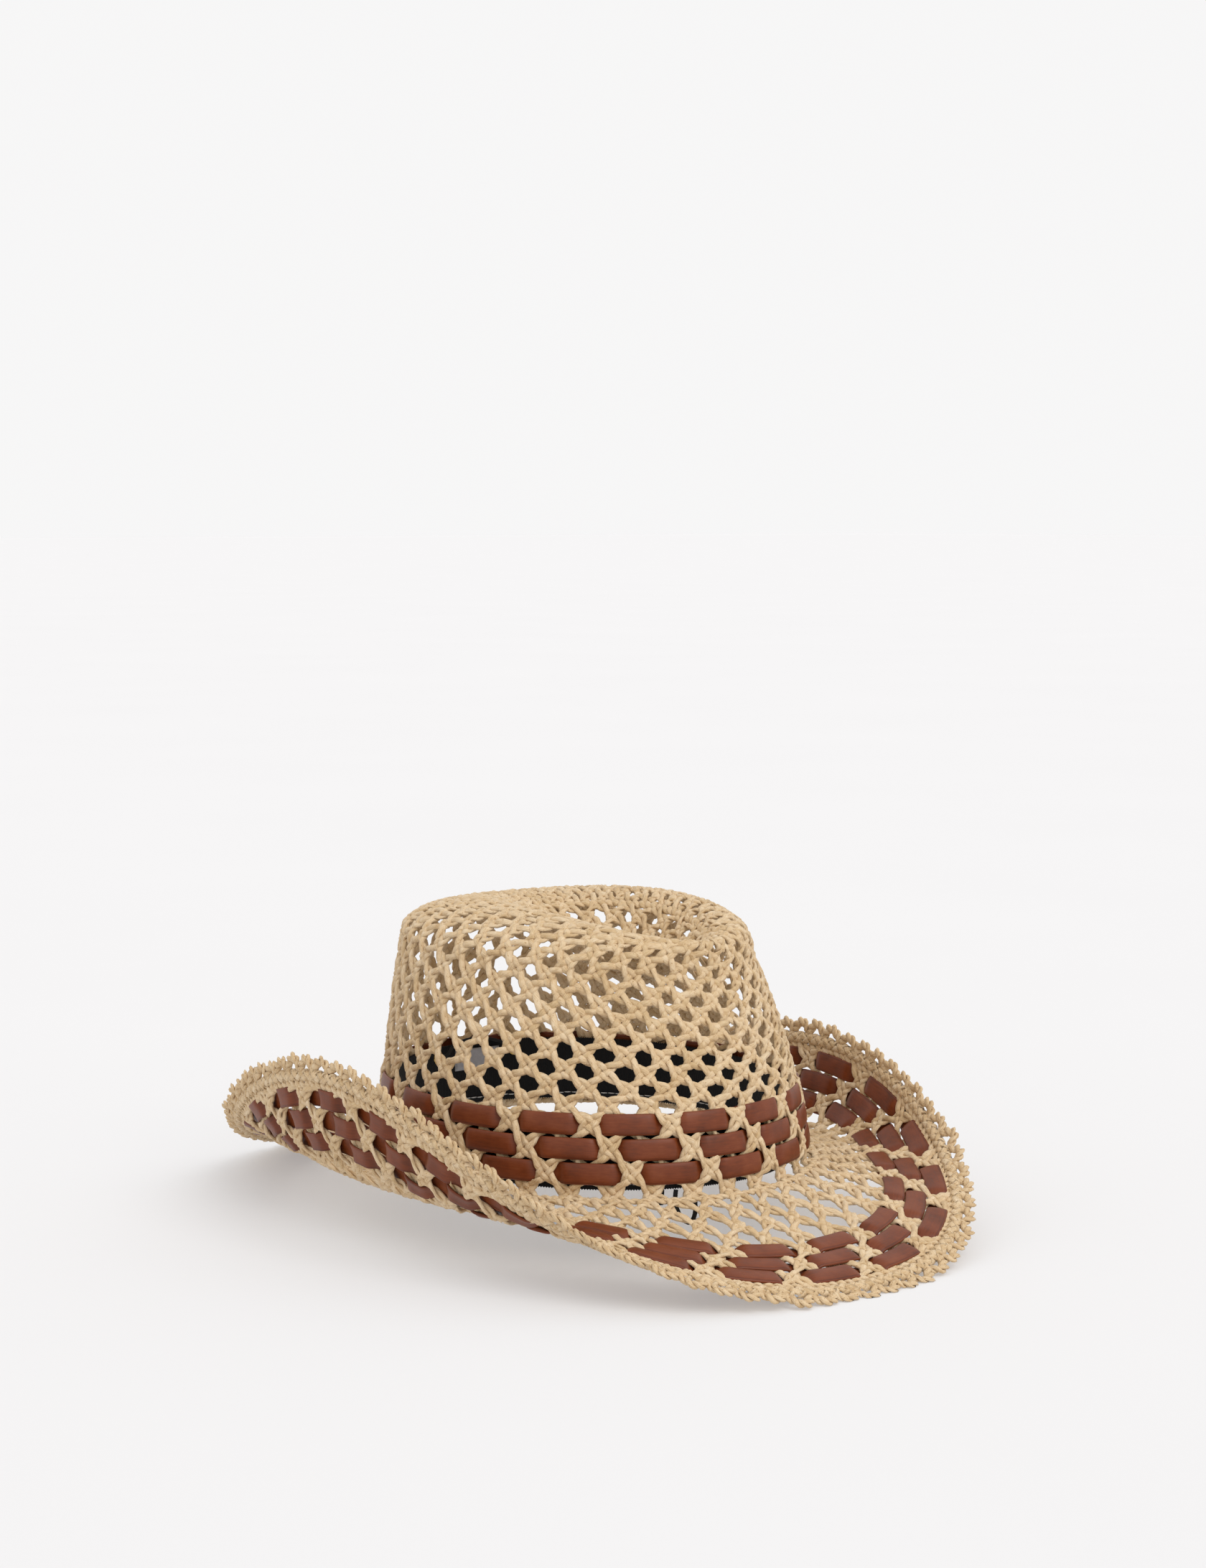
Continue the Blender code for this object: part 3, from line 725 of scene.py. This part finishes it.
def make_nets(finish):
    """The crown, the dent and the brim."""
    crown = Net(CROWN, CROWN_COLUMNS, CROWN_PHASE, -0.5, CROWN_LAST_ROW, CROWN_STRAP_ROWS.values())
    brim = Net(BRIM, BRIM_COLUMNS, BRIM_PHASE, 0, BRIM_INNER_ROWS + 3, BRIM_STRAP_ROWS.values())
    dent = Net(make_dent_surface(DENT_RING, CENTRE_RING, 4), DENT_COLUMNS, 0.5, 0, 4, ())
    centre = Net(make_dent_surface(CENTRE_RING, CENTRE_END, 2), CENTRE_COLUMNS, 0.25, 0, 2, ())
    for side, lean in (("left", 1), ("right", -1)):
        place(crown.family(lean).make(f"crown_net_{side}_strands", finish), "straw",
              "crown_wall_weave", "crown_top_weave")
        place(brim.family(lean).make(f"brim_net_{side}_strands", finish, FLOOR_GAP), "straw", "brim_weave")
    top = dent.family(1)
    for column in range(DENT_COLUMNS):
        dent.strand(top, column, -1)
    for column in range(CENTRE_COLUMNS):
        centre.strand(top, column, 1)
        centre.strand(top, column, -1)
    for surface, row, count, spread, pitch in ((dent.surface, 0, 420, 0.85 * MM, 7 * MM),
                                               (centre.surface, 0, 200, 0.85 * MM, 6 * MM),
                                               (centre.surface, 2, 60, 0.8 * MM, 5 * MM)):
        twisted_ring(top, *ring_on(surface, row, count), spread, pitch)
    place(top.make("crown_dent_net", finish), "straw", "crown_top_weave")
    foot = Builder()
    twisted_ring(foot, *ring_on(BRIM, 0, 760), 0.7 * MM, 8 * MM, 1.0 * MM)
    place(foot.make("crown_foot_ring", finish), "straw", "crown_wall_weave")


def make_straps(finish):
    """The six straps."""
    for name, row in CROWN_STRAP_ROWS.items():
        strap(f"crown_strap_{name}_laced", CROWN, CROWN_COLUMNS, CROWN_PHASE, row, finish,
              f"crown_strap_{name}")
    for name, row in BRIM_STRAP_ROWS.items():
        strap(f"brim_strap_{name}_laced", BRIM, BRIM_COLUMNS, BRIM_PHASE, row, finish,
              f"brim_strap_{name}")


# ---- sweatband and trim

def patch_rings(angle, heights, offset, thickness):
    """Rings of a thin sheet on the crown wall; offset and thickness may change with angle and height."""
    rings = []
    for side, levels in ((-0.5, heights), (0.5, heights[::-1])):
        for height in levels:
            point, normal = WALL.at(angle, np.full(len(angle), float(height)))
            depth = offset(angle, height) + side * thickness(angle, height)
            rings.append(point - normal * np.broadcast_to(depth, angle.shape)[:, None])
    return np.stack(rings, axis=1)


def make_band(finish):
    """The ribbed ribbon, with a picot edge along its top and bottom."""
    ribs = round(BAND_LENGTH / RIB_PITCH)
    angle = np.linspace(0, 2 * pi, ribs * 4, endpoint=False)
    rib = np.cos(ribs * angle)
    ease = 0.25 * MM * smooth_chance(len(angle), 90, True)
    heights = np.array([BAND_BOTTOM, BAND_BOTTOM + 0.5 * MM, BAND_BOTTOM + 4 * MM, BAND_TOP - 10 * MM,
                        BAND_TOP - 0.5 * MM, BAND_TOP])

    def offset(at, height):
        return BAND_OFFSET + ease

    def thickness(at, height):
        rim = height in (BAND_BOTTOM, BAND_TOP)
        return BAND_THICKNESS * (0.5 if rim else 1) + 0.14 * MM * rib

    rings = patch_rings(angle, heights, offset, thickness)
    picot = (PICOT_DEPTH * rib)[:, None]
    levels = len(heights)
    rings[:, [0, 2 * levels - 1], 2] -= picot
    rings[:, [levels - 1, levels], 2] += picot
    builder = Builder()
    builder.add(rings[:, ::-1], True)
    band = place(builder.make("sweatband_ribbon", finish), "ribbon", "sweatband")


def add_thread(builder, centres, normal, outline):
    """A short length of sewing thread."""
    ahead = direction(centres, False)
    left = unit(np.cross(normal, ahead))
    builder.add(swept(centres, left, np.cross(ahead, left), outline), False)


def make_stitches(finish):
    """Lockstitches along the band's lower edge, on both faces."""
    builder = Builder()
    stitches = round(BAND_LENGTH / STITCH_PITCH)
    outline = oval(6, 0.26 * MM, 0.24 * MM)
    share = np.linspace(0, 1, 7)
    for face in (-1, 1):
        for stitch in range(stitches):
            start = 2 * pi * (stitch + (0.5 if face > 0 else 0)) / stitches
            angle = start + share * 2 * pi / stitches * 0.86
            wander = 0.15 * MM * float(CHANCE.uniform(-1, 1))
            point, normal = WALL.at(angle, np.full(len(share), BAND_BOTTOM + STITCH_LINE + wander))
            bow = 0.22 * MM * np.sin(pi * share) - 0.12 * MM
            depth = BAND_OFFSET + face * (BAND_THICKNESS / 2 + 0.16 * MM + bow)
            taper = (0.45 + 0.55 * np.sin(pi * np.clip(share, 0.12, 0.88)))[:, None, None]
            add_thread(builder, point - normal * depth[:, None], normal, outline * taper)
    place(builder.make("sweatband_stitches", finish), "thread", "sweatband_stitching")


def make_label(finish, thread):
    """The grey satin label with its folded ends, and the two rows of thread that hold it."""
    angle = np.linspace(LABEL_CENTRE - LABEL_HALF_ANGLE, LABEL_CENTRE + LABEL_HALF_ANGLE, 49)
    heights = np.linspace(LABEL_BOTTOM, LABEL_TOP, 9)
    inner_face = BAND_OFFSET + BAND_THICKNESS / 2

    def offset(at, height):
        across = (at - LABEL_CENTRE) / LABEL_HALF_ANGLE
        return inner_face + 0.35 * MM + 0.28 * MM * (1 - across ** 2)

    def thickness(at, height):
        across = abs(at - LABEL_CENTRE) / LABEL_HALF_ANGLE
        return 0.22 * MM + 0.22 * MM * np.clip((across - 0.9) / 0.02, 0, 1)

    builder = Builder()
    builder.add(patch_rings(angle, heights, offset, thickness)[:, ::-1], False)
    label = place(builder.make("satin_label", finish), "satin", "inner_label")
    rows = Builder()
    outline = oval(6, 0.14 * MM, 0.14 * MM)
    for end in (-0.94, 0.94):
        for low in np.arange(LABEL_BOTTOM + 0.6 * MM, LABEL_TOP - 1.2 * MM, 1.5 * MM):
            height = np.linspace(low, low + 1.1 * MM, 4)
            point, normal = WALL.at(np.full(4, LABEL_CENTRE + end * LABEL_HALF_ANGLE), height)
            add_thread(rows, point - normal * (inner_face + 0.72 * MM), normal, outline)
    place(rows.make("satin_label_stitches", thread), "satin")


def make_care_label(finish):
    """The small black tab that hangs below the band."""
    angle = np.linspace(CARE_ANGLE - CARE_HALF_ANGLE, CARE_ANGLE + CARE_HALF_ANGLE, 17)
    heights = np.linspace(CARE_BOTTOM, CARE_TOP, 13)

    def offset(at, height):
        hang = (CARE_TOP - height) / (CARE_TOP - CARE_BOTTOM)
        across = (at - CARE_ANGLE) / CARE_HALF_ANGLE
        return BAND_OFFSET + 0.55 * MM + hang ** 2 * (1.4 * MM + 0.5 * MM * across)

    def thickness(at, height):
        fold = np.clip((CARE_BOTTOM + 1.2 * MM - height) / (0.3 * MM), 0, 1)
        return 0.24 * MM + 0.2 * MM * fold

    builder = Builder()
    builder.add(patch_rings(angle, heights, offset, thickness)[:, ::-1], False)
    place(builder.make("care_label_tab", finish), "ribbon", "care_label")


def make_eyelet(name, angle, finish):
    """A rolled brass eyelet through the band."""
    point, normal = WALL.at(np.array([angle]), np.array([EYELET_HEIGHT]))
    axis = Vector(-normal[0])
    turn = np.array(axis.to_track_quat("Z", "Y").to_matrix())
    centre = point[0] - normal[0] * BAND_OFFSET
    bore = 1.25 * MM
    roll = 0.95 * MM
    face = 0.34 * MM
    profile = [(bore, -0.7 * MM), (bore + 0.5 * MM, -0.7 * MM), (bore + 0.5 * MM, face)]
    for step in np.linspace(0, 1, 11):
        bend = pi * step
        profile.append((bore + roll + roll * cos(bend) * 0.95, face + 0.62 * MM * sin(bend)))
    profile.append((bore, face * 0.4))
    profile = np.array(profile)
    sides = 40
    rings = []
    for side in np.arange(sides) * 2 * pi / sides:
        local = np.stack((profile[:, 0] * cos(side), profile[:, 0] * sin(side), profile[:, 1]), axis=-1)
        rings.append(centre + local @ turn.T)
    builder = Builder()
    builder.add(np.array(rings), True)
    place(builder.make(f"{name}_rolled", finish), "brass", name)


def smooth_route(points, spacing):
    """Evenly spaced points on a smooth curve through the route's own points."""
    route = np.array(points) * MM
    route = np.concatenate(([route[0] * 2 - route[1]], route, [route[-1] * 2 - route[-2]]))
    fine = []
    for p0, p1, p2, p3 in zip(route, route[1:], route[2:], route[3:]):
        for t in np.arange(24) / 24:
            fine.append(0.5 * (2 * p1 + (p2 - p0) * t + (2 * p0 - 5 * p1 + 4 * p2 - p3) * t ** 2
                               + (3 * p1 - p0 - 3 * p2 + p3) * t ** 3))
    fine.append(route[-2])
    fine = np.array(fine)
    travelled = np.concatenate(([0], np.cumsum(np.linalg.norm(np.diff(fine, axis=0), axis=-1))))
    wanted = np.linspace(0, travelled[-1], max(3, round(travelled[-1] / spacing) + 1))
    return by_axis(wanted, travelled, fine)


def make_cord(name, route, diameter, finish, node):
    """A thin black cord with the ridges of its braid."""
    centres = smooth_route(route, 0.25 * diameter)
    ahead = direction(centres, False)
    start = unit(np.cross(ahead, np.array((0.3, 0.2, 1.0))))
    up = np.cross(start, ahead)
    sides = 12
    turn = np.arange(sides) * 2 * pi / sides
    station = np.arange(len(centres))[:, None]
    grooves = np.abs(np.sin(3 * turn + 0.5 * station)) + np.abs(np.sin(3 * turn - 0.5 * station))
    radius = diameter / 2 * (1 - 0.06 * grooves)
    outline = oval(sides, radius, radius)
    builder = Builder()
    builder.add(swept(centres, start, up, outline[..., ::-1]), False)
    piece = place(builder.make(f"{name}_braided", finish), "black_cord", node)


# ---- materials

def add_node(tree, kind, inputs=None, **settings):
    """A shader node with its settings, and its inputs as values or as links."""
    node = tree.nodes.new(f"ShaderNode{kind}")
    for name, value in settings.items():
        setattr(node, name, value)
    for name, value in (inputs or {}).items():
        if isinstance(value, bpy.types.NodeSocket):
            tree.links.new(value, node.inputs[name])
        else:
            node.inputs[name].default_value = value
    return node


def math(tree, operation, first, second=0.0):
    """The result of a sum on two values or links."""
    return add_node(tree, "Math", {0: first, 1: second}, operation=operation).outputs[0]


def ramp(tree, share, *stops):
    """A colour for each position along a ramp."""
    node = add_node(tree, "ValToRGB", {"Fac": share})
    while len(node.color_ramp.elements) < len(stops):
        node.color_ramp.elements.new(0.5)
    for element, (position, colour) in zip(node.color_ramp.elements, stops):
        element.position = position
        element.color = (*colour, 1)
    return node.outputs["Color"]


def principled(name, **constants):
    """A material with one Principled shader and its constant sockets."""
    finish = bpy.data.materials.new(name)
    finish.use_nodes = True
    tree = finish.node_tree
    shader = tree.nodes["Principled BSDF"]
    for socket, value in constants.items():
        shader.inputs[socket.replace("_", " ")].default_value = value
    return finish, tree, shader


def finished(tree, shader, colour, roughness, normal):
    """Links to the three sockets that every finish varies."""
    for socket, value in (("Base Color", colour), ("Roughness", roughness), ("Normal", normal)):
        tree.links.new(value, shader.inputs[socket])


def hat_coordinates(tree):
    """Position in the hat, in metres."""
    return add_node(tree, "TexCoord").outputs["Object"]


def grain_coordinates(tree):
    """Distance along a piece in centimetres, and the share of the way round it."""
    grain = add_node(tree, "UVMap", uv_map="grain").outputs["UV"]
    split = add_node(tree, "SeparateXYZ", {"Vector": grain})
    return split.outputs["X"], split.outputs["Y"]


def stretched(tree, along, along_scale, around, around_scale):
    """Coordinates with their own scales along and round a piece."""
    x = math(tree, "MULTIPLY", along, along_scale)
    y = math(tree, "MULTIPLY", around, around_scale)
    return add_node(tree, "CombineXYZ", {"X": x, "Y": y}).outputs["Vector"]


def noise(tree, coordinates, scale, detail=2.0, roughness=0.5):
    """The value of a noise texture."""
    inputs = {"Vector": coordinates, "Scale": scale, "Detail": detail, "Roughness": roughness}
    return add_node(tree, "TexNoise", inputs).outputs["Fac"]


def blended(tree, first, first_share, second, second_share):
    """The sum of two values, each with its share."""
    return math(tree, "ADD", math(tree, "MULTIPLY", first, first_share),
                math(tree, "MULTIPLY", second, second_share))


def bump(tree, height, strength, distance, normal=None):
    """A bumped normal."""
    inputs = {"Height": height, "Strength": strength, "Distance": distance}
    if normal is not None:
        inputs["Normal"] = normal
    return add_node(tree, "Bump", inputs).outputs["Normal"]


def scaled_range(tree, value, low, high):
    """A value from 0 to 1 carried over to another range."""
    return add_node(tree, "MapRange", {"Value": value, "To Min": low, "To Max": high}).outputs["Result"]


def multiplied(tree, colour, tone):
    """One colour times another."""
    node = add_node(tree, "Mix", data_type="RGBA", blend_type="MULTIPLY")
    node.inputs["Factor"].default_value = 1.0
    tree.links.new(colour, node.inputs["A"])
    tree.links.new(tone, node.inputs["B"])
    return node.outputs["Result"]


def straw_material(name, flecks):
    """Twisted paper yarn: fibres that wind along it, creases, and a tone of its own for each yarn."""
    finish, tree, shader = principled(name, Specular_IOR_Level=0.3, Sheen_Weight=0.08, Sheen_Roughness=0.5)
    along, around = grain_coordinates(tree)
    wound = math(tree, "ADD", around, math(tree, "MULTIPLY", along, 0.35))
    fibres = noise(tree, stretched(tree, along, 1.6, wound, 9.0), 2.2, 3.0, 0.6)
    place_in_hat = hat_coordinates(tree)
    patches = noise(tree, place_in_hat, 260.0, 2.0)
    specks = noise(tree, place_in_hat, 1500.0, 1.0)
    tint = add_node(tree, "Attribute", attribute_name="tint").outputs["Fac"]
    blend = blended(tree, fibres, 0.62, patches, 0.38)
    base = ramp(tree, blend, (0.30, STRAW_DARK), (0.46, STRAW_MIDDLE), (0.66, STRAW_LIGHT))
    tone = ramp(tree, tint, (0.0, (0.86, 0.83, 0.76)), (0.5, (1.0, 1.0, 1.0)), (1.0, (1.0, 1.03, 1.08)))
    speck_tone = ramp(tree, specks, (0.25, (0.62, 0.5, 0.34)), (0.25 + flecks, (1.0, 1.0, 1.0)))
    colour = multiplied(tree, multiplied(tree, base, tone), speck_tone)
    creases = noise(tree, stretched(tree, along, 3.0, wound, 5.0), 1.6, 2.0)
    coarse = bump(tree, creases, 0.7, 0.5 * MM)
    finished(tree, shader, colour, scaled_range(tree, fibres, 0.5, 0.78),
             bump(tree, fibres, 0.55, 0.22 * MM, coarse))
    return finish


def leather_material():
    """Waxed brown leather with a fine grain and soft gloss; its edges are darkened with painted shade."""
    finish, tree, shader = principled("laced_leather", Specular_IOR_Level=0.34)
    along, around = grain_coordinates(tree)
    place_in_hat = hat_coordinates(tree)
    clouds = noise(tree, place_in_hat, 90.0, 3.0)
    scuffs = noise(tree, stretched(tree, along, 1.3, around, 22.0), 1.5, 3.0, 0.6)
    blend = blended(tree, clouds, 0.6, scuffs, 0.4)
    base = ramp(tree, blend, (0.25, LEATHER_DARK), (0.5, LEATHER_MIDDLE), (0.75, LEATHER_LIGHT))
    # Painted shade: the colour darkens in narrow lines along the strap's edges.
    rim = math(tree, "ABSOLUTE", math(tree, "SINE", math(tree, "MULTIPLY", around, 2 * pi)))
    painted_edge_shade = ramp(tree, rim, (0.0, (0.62, 0.55, 0.5)), (0.16, (1.0, 1.0, 1.0)))
    cells = add_node(tree, "TexVoronoi", {"Vector": place_in_hat, "Scale": 1500.0}).outputs["Distance"]
    grain = bump(tree, cells, 0.22, 0.06 * MM)
    finished(tree, shader, multiplied(tree, base, painted_edge_shade), scaled_range(tree, scuffs, 0.34, 0.52),
             bump(tree, clouds, 0.35, 0.6 * MM, grain))
    return finish


def ribbon_material():
    """Black grosgrain with fine cross threads."""
    finish, tree, shader = principled("grosgrain_ribbon", Specular_IOR_Level=0.22, Sheen_Weight=0.12,
                                      Sheen_Roughness=0.4)
    place_in_hat = hat_coordinates(tree)
    height = add_node(tree, "SeparateXYZ", {"Vector": place_in_hat}).outputs["Z"]
    threads = math(tree, "SINE", math(tree, "MULTIPLY", height, 2 * pi / (0.42 * MM)))
    lint = noise(tree, place_in_hat, 900.0, 2.0)
    blend = math(tree, "ADD", scaled_range(tree, threads, 0.0, 0.5), math(tree, "MULTIPLY", lint, 0.5))
    base = ramp(tree, blend, (0.2, (0.0035, 0.0035, 0.004)), (0.9, (0.011, 0.011, 0.012)))
    finished(tree, shader, base, scaled_range(tree, lint, 0.6, 0.85), bump(tree, blend, 0.5, 0.12 * MM))
    return finish


def thread_material(name, light, dark):
    """Twisted sewing thread."""
    finish, tree, shader = principled(name, Specular_IOR_Level=0.3)
    along, around = grain_coordinates(tree)
    wound = math(tree, "ADD", math(tree, "MULTIPLY", along, 14.0), around)
    plies = math(tree, "SINE", math(tree, "MULTIPLY", wound, 6 * pi))
    lint = noise(tree, hat_coordinates(tree), 2500.0, 2.0)
    blend = math(tree, "ADD", scaled_range(tree, plies, 0.1, 0.5), math(tree, "MULTIPLY", lint, 0.5))
    finished(tree, shader, ramp(tree, blend, (0.2, dark), (0.8, light)),
             scaled_range(tree, lint, 0.5, 0.75), bump(tree, plies, 0.5, 0.08 * MM))
    return finish


def metal_material(name, dark, light, scale):
    """Handled metal: faint scratches and a slightly dull bloom."""
    finish, tree, shader = principled(name, Metallic=1.0)
    place_in_hat = hat_coordinates(tree)
    bloom = noise(tree, place_in_hat, scale, 3.0)
    scratches = noise(tree, place_in_hat, scale * 9, 2.0, 0.7)
    finished(tree, shader, ramp(tree, bloom, (0.3, dark), (0.7, light)),
             scaled_range(tree, scratches, 0.18, 0.42), bump(tree, scratches, 0.15, 0.03 * MM))
    return finish


def satin_material():
    """Pale grey woven satin."""
    finish, tree, shader = principled("satin_label_cloth", Specular_IOR_Level=0.5, Sheen_Weight=0.15)
    place_in_hat = hat_coordinates(tree)
    height = add_node(tree, "SeparateXYZ", {"Vector": place_in_hat}).outputs["Z"]
    weft = math(tree, "SINE", math(tree, "MULTIPLY", height, 2 * pi / (0.3 * MM)))
    slubs = noise(tree, place_in_hat, 700.0, 3.0)
    blend = math(tree, "ADD", scaled_range(tree, weft, 0.15, 0.35), math(tree, "MULTIPLY", slubs, 0.6))
    base = ramp(tree, blend, (0.3, (0.30, 0.30, 0.32)), (0.8, (0.46, 0.46, 0.485)))
    finished(tree, shader, base, scaled_range(tree, slubs, 0.26, 0.42), bump(tree, blend, 0.3, 0.05 * MM))
    return finish


def floor_material():
    """Plain pale floor that glows a little, so that shadows stay light."""
    finish, tree, shader = principled("studio_floor", Roughness=0.9, Specular_IOR_Level=0.1)
    shade = noise(tree, hat_coordinates(tree), 3.0, 2.0)
    base = ramp(tree, shade, (0.2, (0.515, 0.511, 0.511)), (0.8, (0.525, 0.521, 0.521)))
    tree.links.new(base, shader.inputs["Base Color"])
    shader.inputs["Emission Color"].default_value = (1.0, 0.99, 0.995, 1)
    shader.inputs["Emission Strength"].default_value = 0.307
    return finish


# ---- studio

def make_camera():
    """A long lens, low and in front of the hat's right side."""
    camera = bpy.data.cameras.new("camera")
    camera.sensor_fit = "VERTICAL"
    camera.sensor_height = 36
    camera.sensor_width = 36
    camera.lens = 64.47
    camera.clip_end = 100
    piece = bpy.data.objects.new("camera", camera)
    piece.location = (-0.74906, -0.91281, 0.29489)
    piece.rotation_euler = (radians(84.493), 0, radians(-39.777))
    bpy.context.scene.collection.objects.link(piece)
    bpy.context.scene.camera = piece


def make_studio():
    """An even white surround and one soft key over a pale floor."""
    scene = bpy.context.scene
    scene.view_settings.view_transform = "Standard"
    world = bpy.data.worlds.new("studio")
    world.use_nodes = True
    world.node_tree.nodes["Background"].inputs["Color"].default_value = (1.0, 0.995, 0.995, 1)
    world.node_tree.nodes["Background"].inputs["Strength"].default_value = 0.93
    scene.world = world
    sun = bpy.data.lights.new("key", "SUN")
    sun.energy = 1.05
    sun.angle = radians(42)
    key = bpy.data.objects.new("key", sun)
    key.rotation_euler = (radians(42), radians(8), radians(-8))
    scene.collection.objects.link(key)
    half = FLOOR_HALF_WIDTH
    mesh = bpy.data.meshes.new("floor")
    mesh.from_pydata([(-half, -half, 0), (half, -half, 0), (half, half, 0), (-half, half, 0)], [],
                     [(0, 1, 2, 3)])
    mesh.materials.append(floor_material())
    floor = bpy.data.objects.new("floor", mesh)
    scene.collection.objects.link(floor)


def main():
    """Camera and cords first, then everything else."""
    make_camera()
    black = thread_material("black_cord_braid", (0.02, 0.02, 0.021), (0.004, 0.004, 0.004))
    make_cord("sizing_cord", SIZING_CORD_ROUTE, CORD_DIAMETER, black, "sizing_cord")
    make_cord("hang_loop", HANG_LOOP_ROUTE, LOOP_DIAMETER, black, "hang_loop")
    make_nets(straw_material("paper_straw", 0.08))
    make_border(straw_material("paper_straw_border", 0.14))
    make_straps(leather_material())
    make_band(ribbon_material())
    white = thread_material("white_thread", (0.84, 0.84, 0.82), (0.5, 0.5, 0.49))
    make_stitches(white)
    make_label(satin_material(), thread_material("grey_thread", (0.45, 0.45, 0.46), (0.25, 0.25, 0.26)))
    make_care_label(ribbon_material())
    brass = metal_material("rolled_brass", (0.50, 0.31, 0.09), (0.80, 0.57, 0.22), 350.0)
    for side, angle in EYELET_ANGLES.items():
        make_eyelet(f"eyelet_{side}", angle, brass)
    steel = metal_material("shaping_wire_steel", (0.35, 0.35, 0.36), (0.62, 0.62, 0.63), 200.0)
    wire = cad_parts["brim_wire"]
    for slot in wire.material_slots:
        slot.material = steel
    make_studio()


main()
